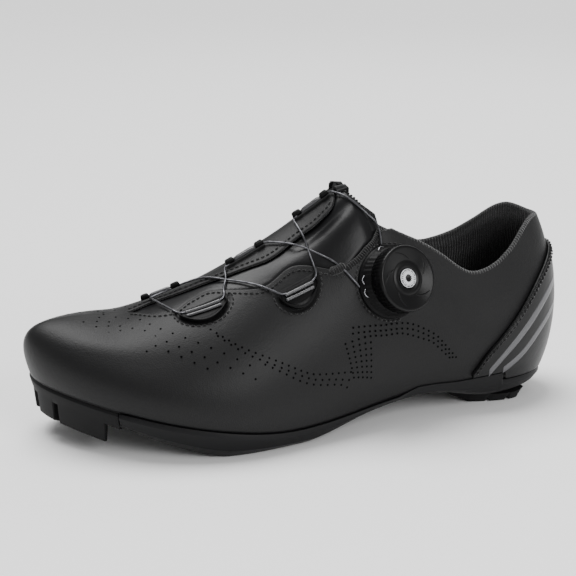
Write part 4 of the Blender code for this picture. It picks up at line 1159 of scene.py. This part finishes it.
def make_tongue(outer):
    """Padded tongue: one sheet up to its apex, two wings that follow the sides behind it."""
    work = bmesh.new()
    for side, first, last, count in TONGUE_SIDES:
        row, across = np.meshgrid(np.linspace(*TONGUE_ROWS), np.linspace(first, last, count), indexing="ij")
        mesh = grid_mesh("tongue_side", raised(row, across, tongue_height(row, across), side))
        work.from_mesh(mesh)
        bpy.data.meshes.remove(mesh)
    bmesh.ops.remove_doubles(work, verts=work.verts, dist=TONGUE_MERGE)
    mesh = bpy.data.meshes.new("tongue_pad")
    work.to_mesh(mesh)
    work.free()
    mesh.shade_smooth()
    piece = add_piece("tongue_pad", mesh, outer, "tongue", "tongue")
    shell = piece.modifiers.new("thickness", "SOLIDIFY")
    shell.thickness = TONGUE_THICKNESS
    shell.offset = -1.0
    bevelled(piece, *TONGUE_ROUNDING)


def rim_share(turn, height):
    """Share of a rib at a small height over the feather line."""
    return height / (3 * (low_handles(turn)[..., 2] - foot_points(turn)[..., 2]))


def counter_grid():
    """Turn and share at each point of the counter's face."""
    first = COUNTER_EDGE[0][0]
    turn = np.linspace(first, LOOP_ROWS - first, COUNTER_COLUMNS)
    row = row_of(turn)
    foot = rim_share(turn, np.interp(row - WING_STEP, *zip(*RIM)) + COUNTER_FOOT)
    share = foot[:, None] + (counter_edge(row) - foot)[:, None] * np.linspace(0, 1, COUNTER_RINGS)
    return np.repeat(turn[:, None], COUNTER_RINGS, 1), share


def counter_height(share, top):
    """Height of the counter's face over the upper: a raised, double-stitched front seam."""
    below = (top - share) * RIB_LENGTH
    seam = SEAM_RISE * (1 - smooth(below, *SEAM_END))
    groove = SEAM_GROOVE * np.exp(-((below - SEAM_WIDTH / 2) / GROOVE_HALF) ** 2)
    edge = (COUNTER_THICKNESS - COUNTER_LIP) * (1 - smooth(below, 0.0, COUNTER_LIP_RUN))
    return COUNTER_GAP + COUNTER_THICKNESS + seam - groove - edge


def make_counter(finish):
    """Moulded overlay round the heel."""
    turn, share = counter_grid()
    normals = skin_normal(turn, share)
    base = skin(turn, share)
    face = base + counter_height(share, share[:, -1:])[..., None] * normals
    back = base + COUNTER_GAP * normals
    add_grid("heel_overlay", np.concatenate([face, back[:, ::-COUNTER_BACK_STEP]], 1), finish,
             "heel_counter", "heel_counter")


def make_bands(finish):
    """Two strips of reflective tape round the heel."""
    for name, places, half in BANDS:
        row, share = fine_line(places, BAND_STEPS).T
        width = half * (1 - TAPE_TAPER * np.linspace(0, 1, BAND_STEPS))
        for side, turn in (("outside", row), ("inside", LOOP_ROWS - row)):
            columns = []
            for offset, lift in TAPE_SECTION:
                where = share + offset * width / RIB_LENGTH
                height = counter_height(where, counter_edge(row)) - TAPE_SINK + lift * TAPE_THICKNESS
                columns.append(skin(turn, where) + height[:, None] * skin_normal(turn, where))
            add_grid(f"{name}_{side}", np.stack(columns, 1), finish, "heel_counter")


def sole_axis(row):
    """Level points on the sole's axis that the two ribs of a row share."""
    middle = (feet(row) + feet(LOOP_ROWS - row)) / 2
    heel_end = place(AXIS_HEEL, 0.0, 0.0)[:2]
    toe_end = place(AXIS_TOE, AXIS_TOE_SIDE * BALL_WIDTH, 0.0)[:2]
    middle = np.where((middle[..., 0] > heel_end[0])[..., None], heel_end, middle)
    return np.where((middle[..., 0] < toe_end[0])[..., None], toe_end, middle)


def plate_top(along):
    return feather(along) - GAP


def level_at(points, rise):
    """Points at level places; rise is a height or a function of the place along the shoe."""
    height = rise(along_at(points[..., 0])) if callable(rise) else np.broadcast_to(rise, points.shape[:-1])
    return np.concatenate([points, height[..., None]], -1)


def plate_profile(turn):
    """Fine profile of the plate on ribs, from the axis below round the rim to the axis above."""
    row = row_of(turn)
    side = outward(turn)[:, :2]
    foot = foot_points(turn)
    level = foot[:, :2]
    axis = sole_axis(row)
    along = along_at(foot[:, 0])
    top = plate_top(along)
    bottom = underside(along)
    depth = top - bottom
    face = skin(turn, rim_share(turn, np.interp(row, *zip(*RIM))))
    reach = np.sum((face - foot) * outward(turn), -1) + PLATE_LEDGE
    rim = [
        (-WALL - GAP, top), (PLATE_LEDGE, top), (reach, face[:, 2]), (reach + RIM_WIDTH, face[:, 2]),
        (RIDGE_OUT, foot[:, 2] - np.minimum(RIDGE_DROP, RIDGE_LIMIT * depth)),
        (-SIDE_INSET, bottom + WAIST * depth), (-EDGE_INSET, bottom),
    ]
    in_tread = row < TREAD_END + TREAD_SEAM
    columns = []
    for i, (out, height) in enumerate(rim):
        offset = np.where(in_tread, -TREAD_WALL_INSET - GAP, out)
        heights = np.where(in_tread, top - TOE_FLOOR * i / (len(rim) - 1), height)
        columns.append(level_at(level + offset[:, None] * side, heights))

    def low(place_along):
        return np.where(in_tread, plate_top(place_along) - TOE_FLOOR, underside(place_along))

    start = [level_at(axis, low), level_at((axis + level - EDGE_INSET * side) / 2, low)]
    end = [level_at((axis + level - (WALL + GAP) * side) / 2, plate_top), level_at(axis, plate_top)]
    return start + columns[::-1] + end


def make_plate(finish):
    """Stiff plate: rim, ridge, undercut side, heel wings."""
    edges = [(TREAD_END + TREAD_SEAM, TREAD_SEAM), (WING_END + WING_STEP / 2, WING_STEP)]
    near = np.array([edge + sign * gap / 2 for edge, gap in edges for sign in (-1, 1)])
    row_turns = np.arange(0, LOOP_ROWS, 1 / SOLE_STEPS)
    turns = np.unique(np.round(np.concatenate([row_turns, near, LOOP_ROWS - near]), TURN_DIGITS))
    points = np.stack(plate_profile(turns), 1)
    piece = add_grid("sole_plate", points, finish, "outsole_plate", "outsole_plate",
                     closed=True, wrapped=False)
    bevelled(piece, *SOLE_ROUNDING)


def make_toe_tread(finish):
    """Rubber toe cup with its lugs."""
    steps = [edge + side * LUG_END_RUN / 2 for lug in LUGS for edge in lug for side in (-1, 1)]
    even = np.linspace(-TREAD_END, TREAD_END, TREAD_COLUMNS)
    turns = np.unique(np.round(np.concatenate([even, steps, np.negative(steps)]), TURN_DIGITS))
    row = np.abs(turns)
    depth = np.zeros(len(turns))
    for first, last in LUGS:
        depth = np.where((row > first) & (row < last), LUG_DEPTH, depth)
    level = foot_points(np.mod(turns, LOOP_ROWS))[:, :2]
    side = outward(np.mod(turns, LOOP_ROWS))[:, :2]
    axis = sole_axis(row)
    along = along_at(level[:, 0])
    top, bottom = plate_top(along), underside(along)

    def low(place_along):
        return underside(place_along) - depth

    def floor(place_along):
        return plate_top(place_along) - TOE_FLOOR - GAP

    wall = level - TREAD_WALL_INSET * side
    edge = level - EDGE_INSET * side
    columns = [
        level_at(axis, underside),
        level_at(edge + (LUG_REACH + LUG_SLOPE) * (axis - edge), underside),
        level_at(edge + LUG_REACH * (axis - edge), low),
        level_at(edge, low),
        level_at(level - LUG_FOOT_INSET * side, bottom - depth),
        level_at(level - LUG_TOP_INSET * side, bottom),
        level_at(level - SIDE_INSET * side, bottom + TREAD_WAIST * (top - bottom)),
        level_at(level + TREAD_RIDGE_OUT * side, top - TREAD_LIP_DROP),
        level_at(level + TREAD_LIP * side, top),
        level_at(wall, top),
        level_at(wall, top - TOE_FLOOR - GAP),
        level_at((axis + wall) / 2, floor),
        level_at(axis, floor),
    ]
    piece = add_grid("toe_cup", np.stack(columns, 1), finish, "toe_tread", "toe_tread")
    bevelled(piece, *SOLE_ROUNDING)


def make_heel_pad(finish):
    """Rubber heel block with chamfered ends and two cross grooves."""
    table = np.array(HEEL_PAD)
    along = np.linspace(table[0, 0], table[-1, 0], PAD_COLUMNS)
    along = np.unique(np.concatenate([along, table[:, 0]]))
    upper_half, floor_half = HEEL_WIDTH * open_curve(table[:, 0], table[:, 1:3])(along).T
    groove = np.zeros(len(along))
    for middle in HEEL_GROOVES:
        groove = np.maximum(groove, np.abs(along - middle) < HEEL_GROOVE_HALF)
    low = np.interp(along, table[:, 0], table[:, 3]) * TOE_SPRING + HEEL_GROOVE_DEPTH * groove
    top = underside(along) - GAP
    x = LENGTH * (CENTRE_ALONG - along)
    columns = []
    for half, height in ((-upper_half, top), (-floor_half, low), (floor_half, low), (upper_half, top)):
        columns.append(np.stack([x, half - PAD_TO_OUTSIDE + CENTRE_SIDE, np.maximum(height, 0.0)], -1))
    piece = add_grid("heel_block", np.stack(columns, 1), finish, "heel_tread", "heel_tread")
    bevelled(piece, *PAD_ROUNDING)


dial_centre = skin(np.array(DIAL_ROW), np.array(DIAL_SHARE))
dial_axis = unit(np.array(DIAL_AXIS))
dial_first = unit(np.cross([0.0, 0.0, 1.0], dial_axis))
dial_second = np.cross(dial_axis, dial_first)


def spokes(angles):
    """Unit vectors across the dial's axis, at angles round it."""
    return np.cos(angles)[..., None] * dial_first + np.sin(angles)[..., None] * dial_second


def skin_height(points):
    """How far along the dial's axis points have to go to reach the skin."""
    heights = []
    for point in points:
        turn, share, height = DIAL_ROW, DIAL_SHARE, 0.0
        for _ in range(SOLVER_STEPS):
            miss = skin(turn, share) - point - height * dial_axis
            by_turn = (skin(turn + TINY_STEP, share) - skin(turn - TINY_STEP, share)) / (2 * TINY_STEP)
            by_share = (skin(turn, share + TINY_STEP) - skin(turn, share - TINY_STEP)) / (2 * TINY_STEP)
            change = np.linalg.solve(np.column_stack([by_turn, by_share, -dial_axis]), -miss)
            turn, share, height = turn + change[0], share + change[1], height + change[2]
        heights.append(height)
    return np.array(heights)


def beside_dial(reach, angles, lift):
    """Points at a height over the quarter, at a distance from the dial's axis."""
    level = dial_centre + np.broadcast_to(reach, len(angles))[:, None] * spokes(angles)
    return level + (skin_height(level) + lift)[:, None] * dial_axis


def dial_level():
    """Height of the knob's seat over the dial's centre, as in the solids."""
    rim = dial_centre + BASE_RADIUS * spokes(np.arange(SEAT_PROBES) * 2 * pi / SEAT_PROBES)
    return max(skin_height(rim).max(), 0.0) + BASE_HEIGHT


def lathe(name, profile, top, sides, finish, *replaced, ripple=None):
    """Turned part of the knob; ripple changes the radius by angle, radius and height."""
    angles = np.arange(sides) * 2 * pi / sides
    reach, rise = np.array(profile).T
    radius = np.repeat(reach[None], sides, 0)
    if ripple is not None:
        radius = radius + ripple(angles[:, None], reach[None], rise[None])
    across = radius[..., None] * spokes(angles)[:, None]
    points = dial_centre + across + (top + rise)[None, :, None] * dial_axis
    add_grid(name, points, finish, "dial_knob", *replaced, closed=True)


def make_seat(level, finish):
    """Base of the dial, which follows the quarter, with a toothed side."""
    angles = np.arange(SEAT_SIDES) * 2 * pi / SEAT_SIDES
    skins = skin_height(dial_centre + BASE_RADIUS * spokes(angles))
    teeth = BASE_TOOTH * (np.sin(angles * BASE_TEETH) > 0)
    rings = []
    for share, inset, toothed, on_skin, on_level, rise in SEAT_RINGS:
        radius = share * BASE_RADIUS - inset - toothed * teeth
        height = on_skin * skins + on_level * level + rise
        rings.append(dial_centre + radius[:, None] * spokes(angles) + height[:, None] * dial_axis)
    add_grid("dial_seat", np.stack(rings, 1), finish, "dial_base", "dial_base", closed=True)


def knob_ribs(angle, radius, rise):
    """Ribs of the knob's side, as a change of its radius."""
    on_side = (radius > KNOB_RADIUS - KNOB_RIB_IN) & (rise < -KNOB_RIB_DROP)
    return -KNOB_TOOTH * (np.cos(angle * KNOB_TEETH) > KNOB_RIB_SHARE) * on_side


def make_ticks(top, finish):
    """Ring of light ticks on the dial's cap."""
    corners = []
    for i in range(TICKS):
        spoke = spokes(np.array(2 * pi * i / TICKS))
        long_tick = 1.0 if i % 2 == 0 else SHORT_TICK
        frame_of = np.stack([
            long_tick * TICK_REACH * BADGE_RADIUS * spoke,
            TICK_WIDTH / 2 * np.cross(dial_axis, spoke),
            TICK_RISE * dial_axis,
        ])
        middle = dial_centre + TICK_MIDDLE * BADGE_RADIUS * spoke + (top + TICK_LIFT) * dial_axis
        signs = [(x, y, z) for x in (-1, 1) for y in (-1, 1) for z in (-1, 1)]
        corners.append(middle + np.array(signs) @ frame_of)
    box_faces = [(0, 1, 3, 2), (4, 6, 7, 5), (0, 4, 5, 1), (2, 3, 7, 6), (0, 2, 6, 4), (1, 5, 7, 3)]
    mesh = bpy.data.meshes.new("dial_ticks")
    faces = [tuple(8 * i + k for k in face) for i in range(TICKS) for face in box_faces]
    mesh.from_pydata(np.concatenate(corners).tolist(), [], faces)
    add_piece("dial_ticks", mesh, finish, "dial_knob")


def make_dial(base_finish, grip_finish, cap_finish, tick_finish):
    """Lace dial: base that follows the quarter, ribbed knob with a flat face and a light ring."""
    level = dial_level()
    top = level + GAP + KNOB_HEIGHT
    make_seat(level, base_finish)
    lathe("dial_grip", KNOB_PROFILE, top, KNOB_TEETH * RIB_SIDES, grip_finish, "dial_knob", ripple=knob_ribs)
    lathe("dial_cap", CAP_PROFILE, top, CAP_SIDES, cap_finish)
    make_ticks(top, tick_finish)
    lathe("dial_ring", RING_PROFILE, top, CAP_SIDES, tick_finish)
    make_grip_lines(top - FACE_DROP, grip_finish)


def make_grip_lines(height, finish):
    """Curved low ridges on the knob's face."""
    run = np.linspace(0, 1, GRIP_STEPS)
    radius = KNOB_RADIUS * (GRIP_FROM + (GRIP_TO - GRIP_FROM) * run)
    taper = tapered(GRIP_STEPS, GRIP_POWER)
    for number in range(GRIP_LINES):
        angle = 2 * pi * number / GRIP_LINES + GRIP_SWEEP * run
        path = dial_centre + radius[:, None] * spokes(angle) + height * dial_axis
        sweep(f"dial_line_{number}", path, np.repeat(dial_axis[None], GRIP_STEPS, 0),
              oval(GRIP_WIDTH, 2 * GRIP_RISE, base=-GRIP_RISE), finish, "dial_knob",
              widths=taper, heights=taper)


def make_outer_guides(tray, bar):
    """Half moon guides: a tray with a raised lip, and a slotted bar along the straight side."""
    run = np.linspace(0, 1, MOON_STEPS)
    belly = HALF_MOON_END + HALF_MOON_DEPTH * np.sin(pi * run) ** HALF_MOON_ROUND
    shares = np.linspace(0, 1, TRAY_RINGS)
    lip = 1 - smooth(shares, *TRAY_LIP_RUN)
    end_lip = 1 - smooth(np.minimum(run, 1 - run), *TRAY_END_RUN)
    lift = TRAY_LOW + (TRAY_LIP - TRAY_LOW) * np.maximum(lip[None, :], end_lip[:, None])
    span = np.linspace(*BAR_SPAN)
    for name, (front, back, edge_front, edge_back) in OUTER_GUIDES.items():
        edge = between(edge_front, edge_back, run)
        row = np.repeat(between(front, back, run)[:, None], TRAY_RINGS, 1)
        across = (edge - belly)[:, None] + belly[:, None] * shares
        face = raised(row, across, lift)
        under = raised(row[:, ::-1], across[:, ::-1], 2 * GAP - RECESS_DROP)
        piece = add_grid(f"{name}_tray", np.concatenate([face, under], 1), tray, "guides", name)
        bevelled(piece, *TRAY_ROUNDING)
        for number, (offset, width, rise) in enumerate(BARS):
            where = between(edge_front, edge_back, span) - offset
            path, normals = on_face(between(front, back, span), where, TRAY_LOW)
            sweep(f"{name}_bar_{number}", path, normals, oval(width, rise, BAR_SIDES), bar, "guides")


def make_inner_guides(body, bar):
    """Slim guides: two end caps and a slotted bar between them."""
    profile = np.array(oval(1.0, 1.0, SLIM_SIDES))
    squared = np.sign(profile) * np.abs(profile) ** SLIM_SQUARE
    taper = tapered(SLIM_STEPS, SLIM_POWER)
    for name, (front, back, mid_front, mid_back) in INNER_GUIDES.items():
        for number, (start, end, half, rise) in enumerate(SLIM_PARTS):
            run = np.linspace(start, end, SLIM_STEPS)
            across = between(mid_front, mid_back, run)
            path, normals = on_face(between(front, back, run), across, 2 * GAP)
            replaced = [name] if number == 0 else []
            finish = bar if number == len(SLIM_PARTS) - 1 else body
            sweep(f"{name}_{number}", path, normals, squared, finish, "guides", *replaced,
                  widths=2 * half * taper, heights=rise * taper)


def wire_stop(stop):
    """Point of a wire's route, on the upper or beside the dial's base."""
    if stop[0] != "dial":
        return raised(np.array(stop[0]), np.array(stop[1]), stop[2])
    return beside_dial(BASE_RADIUS + WIRE_DIAMETER / 2 + GAP, np.array([radians(stop[1])]), stop[2])[0]


def strand(name, route, finish, *replaced):
    """Twisted wire along a smooth curve through the stops of a route."""
    path = fine_line([wire_stop(stop) for stop in route], WIRE_FINE_STEPS * (len(route) - 1) + 1)
    for _ in range(WIRE_SMOOTHING):
        path[1:-1] = (path[:-2] + 2 * path[1:-1] + path[2:]) / 4
    ahead = unit(np.gradient(path, axis=0))
    side = unit(np.cross(ahead, (0.0, 0.0, 1.0)))
    over = np.cross(side, ahead)
    run = run_of(path)
    angles = np.arange(WIRE_SIDES) * 2 * pi / WIRE_SIDES
    twist = run[:, None] * 2 * pi / WIRE_LAY
    groove = WIRE_GROOVE * (0.5 + 0.5 * np.cos(WIRE_STRANDS * angles[None] + twist))
    around = np.cos(angles)[None, :, None] * side[:, None] + np.sin(angles)[None, :, None] * over[:, None]
    points = path[:, None] + (WIRE_DIAMETER / 2 * (1 - groove))[..., None] * around
    add_grid(name, points, finish, "wire", *replaced, merge=WIRE_MERGE)


def make_wires(finish):
    """Wire in its crossings and its runs through the guides."""
    for name, routes in WIRES.items():
        for number, route in enumerate(routes):
            replaced = [name] if number == 0 else []
            strand(f"{name}_strand_{number}", route, finish, *replaced)
    for name, route in WIRE_RUNS.items():
        strand(name, route, finish)


def eyestay_seams():
    """Threads beside the throat edge on both sides."""
    seams = []
    for side, first, last in EYESTAY_ROWS:
        rows = np.linspace(first, last, SEAM_STEPS)
        seams.append(on_face(rows, throat_share(rows, side) + side * EYESTAY_SEAM / RIB_LENGTH))
    return seams


def guide_seams():
    """Threads round the half moon recesses."""
    angle = np.linspace(*GUIDE_SEAM_ANGLES, SEAM_STEPS // 2)
    run = 0.5 - 0.5 * RECESS_LONG * GUIDE_SEAM_LONG * np.cos(angle)
    depth = (HALF_MOON_DEPTH + HALF_MOON_END) * RECESS_DEEP * GUIDE_SEAM_DEEP * np.sin(angle)
    return [
        on_face(between(front, back, run), between(edge_front, edge_back, run) - depth)
        for front, back, edge_front, edge_back in OUTER_GUIDES.values()
    ]


def counter_seams():
    """Double row of threads along the front edge of the heel overlay."""
    seams = []
    row = np.linspace(COUNTER_EDGE[1][0], LAST_ROW, COUNTER_SEAM_STEPS)
    for drop in COUNTER_SEAM_DROPS:
        below = drop * SEAM_WIDTH / RIB_LENGTH
        share = counter_edge(row) - below
        for turn, at in ((row, share), (LOOP_ROWS - row[::-1], share[::-1])):
            normals = skin_normal(turn, at)
            lift = counter_height(at, at + below)
            seams.append((skin(turn, at) + lift[:, None] * normals, normals))
    return seams


def make_strips(finish):
    """Low strips on the upper, crossed by fine ribs."""
    for name, (slot, places, lifts, width, height, pitch) in STRIPS.items():
        path, normals = on_face(*fine_line(places, STRIP_STEPS).T)
        at = resample(path, pitch / RIB_STEPS)
        path, normals = at_index(path, at), unit(at_index(normals, at))
        number = np.arange(len(at))
        wave = STRIP_RIB * (0.5 + 0.5 * np.cos(2 * pi * number / RIB_STEPS))
        ends = np.sqrt(np.clip(np.minimum(number, number[::-1]) / RIB_STEPS, END_SHARE, 1))
        path = path + np.linspace(*lifts, len(at))[:, None] * normals
        sweep(name, path, normals, oval(1.0, 2.0, STRIP_SIDES, base=-1.0), finish, slot,
              widths=width * ends, heights=(height - wave) * ends)


def dial_seam():
    """Threads on the quarter round the dial's base."""
    angles = np.linspace(*DIAL_SEAM_ANGLES)
    path = beside_dial(BASE_RADIUS + DIAL_SEAM_OUT, angles, 0.0)
    return [(path, np.repeat(dial_axis[None], len(angles), 0))]


def make_lace_ports(metal):
    """Bright wire loops where the wire goes into the dial's base."""
    run = np.linspace(-1, 1, PORT_STEPS)
    reach = BASE_RADIUS + PORT_OUT + PORT_BULGE * np.cos(run * pi / 2)
    for name, middle in LACE_PORTS.items():
        path = beside_dial(reach, radians(middle) + radians(PORT_SPAN) * run, PORT_HEIGHT)
        sweep(name, path, np.repeat(dial_axis[None], PORT_STEPS, 0), oval(PORT_THICKNESS, PORT_THICKNESS),
              metal, "dial_base")


def tongue_seams():
    """Threads along the tongue's textile top edge."""
    seams = []
    row = np.linspace(*TONGUE_SEAM_ROWS)
    for drop in TONGUE_SEAM_DROPS:
        across = -drop - TONGUE_SEAM_SLANT * (row - APEX_ROW)
        seams.append(on_face(row, across, tongue_height(row, across) + STITCH_LIFT))
    return seams


def vent_places():
    """Row and across of every vent."""
    places = []
    for table, count in TOE_VENTS + SIDE_VENTS:
        fine = fine_line(table, VENT_STEPS)
        run = run_of(on_face(*fine.T)[0])
        at = np.interp(np.linspace(0, run[-1], count), run, np.arange(len(run)))
        places.append(at_index(fine, at))
    top_front, top_back, low_front, low_back = [np.array(corner) for corner in VENT_FIELD]
    for down in np.linspace(0, 1, FIELD_ROWS):
        front, back = between(top_front, low_front, down), between(top_back, low_back, down)
        places.append(between(front, back, np.linspace(0, 1, FIELD_COLUMNS)[:, None]))
    return np.concatenate(places)


def make_vents(finish):
    """Small discs painted dark as the shade inside the vent holes, on the outside and mirrored on the inside.
    """
    work = bmesh.new()
    angle = np.linspace(0, 2 * pi, VENT_SIDES, endpoint=False)
    for side in (-1, 1):
        for row, across in vent_places():
            centre, normal = on_face(row, -side * across, VENT_LIFT, side)
            u = Vector(normal).orthogonal().normalized()
            v = Vector(normal).cross(u)
            ring = [work.verts.new(Vector(centre) + VENT_RADIUS * (cos(a) * u + sin(a) * v)) for a in angle]
            work.faces.new(ring)
    mesh = bpy.data.meshes.new("vents")
    work.to_mesh(mesh)
    work.free()
    add_piece("vents", mesh, finish, "upper")


def set_camera():
    """Camera at the photograph's angle."""
    azimuth, elevation, roll = radians(VIEW_AZIMUTH), radians(VIEW_ELEVATION), radians(VIEW_ROLL)
    back = Vector((-sin(azimuth) * cos(elevation), -cos(azimuth) * cos(elevation), sin(elevation)))
    right = Vector((cos(azimuth), -sin(azimuth), 0.0))
    up = back.cross(right)
    rolled_right = right * cos(roll) + up * sin(roll)
    rolled_up = up * cos(roll) - right * sin(roll)
    aim = Vector((LENGTH * CENTRE_ALONG - AIM_FROM_HEEL, CENTRE_SIDE, AIM_HEIGHT))
    data = bpy.data.cameras.new("camera")
    data.sensor_width = SENSOR
    data.lens = FOCAL_WIDTHS * SENSOR
    data.shift_x = SHIFT_X
    data.shift_y = SHIFT_Y
    camera = bpy.data.objects.new("camera", data)
    bpy.context.scene.collection.objects.link(camera)
    camera.matrix_world = Matrix((rolled_right, rolled_up, back)).transposed().to_4x4()
    camera.location = aim + back * VIEW_DISTANCE
    bpy.context.scene.camera = camera


def add_light(name, place_at, aim, size, energy):
    """Soft area light aimed at a point."""
    data = bpy.data.lights.new(name, "AREA")
    data.shape = "RECTANGLE"
    data.size, data.size_y = size
    data.energy = energy
    light = bpy.data.objects.new(name, data)
    light.location = place_at
    light.rotation_euler = (Vector(aim) - Vector(place_at)).to_track_quat("-Z", "Y").to_euler()
    bpy.context.scene.collection.objects.link(light)


def set_stage():
    """Pale floor, soft overhead and side lights, pale surroundings."""
    made, _, _ = new_material("floor_white", FLOOR_COLOUR, roughness=0.9)
    mesh = bpy.data.meshes.new("floor")
    corners = [(x * FLOOR_HALF, y * FLOOR_HALF, 0) for x, y in ((-1, -1), (1, -1), (1, 1), (-1, 1))]
    mesh.from_pydata(corners, [], [(0, 1, 2, 3)])
    mesh.materials.append(made)
    floor = bpy.data.objects.new("floor", mesh)
    floor.location.z = -FLOOR_CLEARANCE
    bpy.context.scene.collection.objects.link(floor)
    world = bpy.data.worlds.new("studio")
    world.use_nodes = True
    background = world.node_tree.nodes["Background"]
    background.inputs["Color"].default_value = (1.0, 1.0, 1.0, 1.0)
    background.inputs["Strength"].default_value = WORLD_LIGHT
    bpy.context.scene.world = world
    sun = bpy.data.lights.new("sun", "SUN")
    sun.energy = SUN_LIGHT
    sun.angle = radians(SUN_ANGLE)
    sky = bpy.data.objects.new("sun", sun)
    sky.rotation_euler = Vector(SUN_PLACE).to_track_quat("Z", "Y").to_euler()
    bpy.context.scene.collection.objects.link(sky)
    for light in LIGHTS:
        add_light(*light)


def dress_upper():
    """Upper, tongue, heel overlay with its bands."""
    lining = knit("lining_knit", LINING, LINING_RIB)
    make_upper(leather("upper_leather", BLACK_LEATHER, roughness=0.46), lining)
    make_tongue(leather("tongue_leather", TONGUE_BLACK, roughness=0.34, grain=1900.0, grain_depth=0.00002))
    make_counter(leather("counter_film", BLACK_LEATHER, roughness=0.36, grain=2400.0, grain_depth=0.00002))
    make_bands(tape("reflective_tape", *TAPE_GREYS))


def dress_sole(frame):
    """Plate, toe cup, heel block and the insole's cloth."""
    rubber = plastic("tread_rubber", BLACK_RUBBER, roughness=0.62, grain=1800.0, grain_depth=0.00004)
    make_plate(plastic("plate_nylon", BLACK_NYLON, roughness=0.48))
    make_toe_tread(rubber)
    make_heel_pad(rubber)
    frame["nodes"]["insole"].material_slots[0].material = webbing("insole_cloth", LINING, pitch=0.0011)


def dress_closure():
    """Dial, guides and wire."""
    dark = plastic("dark_plastic", DARK_PLASTIC, roughness=0.46, specular=0.10)
    knob_face = plastic("knob_face", DARK_PLASTIC, roughness=0.30)
    gloss = plastic("gloss_bar", GLOSS_BAR, roughness=0.22, coat=0.5)
    badge = plastic("badge_black", DARK_PLASTIC, roughness=0.25, coat=0.3)
    make_dial(dark, knob_face, badge, plastic("light_print", BADGE_GREY, roughness=0.35))
    make_lace_ports(steel("bright_steel", *BRIGHT_STEEL))
    make_outer_guides(dark, gloss)
    make_inner_guides(dark, gloss)
    make_wires(steel("wire_steel", *WIRE_STEEL))


def sew():
    """Threads and ribbed strips."""
    thread = webbing("thread", THREAD, pitch=0.0004)
    stitches("stitches_eyestay", eyestay_seams(), thread, "upper")
    stitches("stitches_guides", guide_seams(), thread, "upper")
    stitches("stitches_counter", counter_seams(), thread, "heel_counter")
    make_strips(webbing("ribbed_edge", THREAD, pitch=0.0005))
    stitches("stitches_dial", dial_seam(), thread, "dial_base")
    stitches("stitches_tongue", tongue_seams(), thread, "tongue", TONGUE_STITCH, TONGUE_STITCH_PITCH)


def main():
    """Builds every piece of the shoe and the studio round it."""
    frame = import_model()
    set_camera()
    dress_upper()
    dress_sole(frame)
    dress_closure()
    sew()
    # The vent discs' near-black finish is painted shade for the holes
    make_vents(new_material("vent_hole_shade", VENT_HOLE_SHADE, roughness=0.95, specular=0.02)[0])
    set_stage()


main()
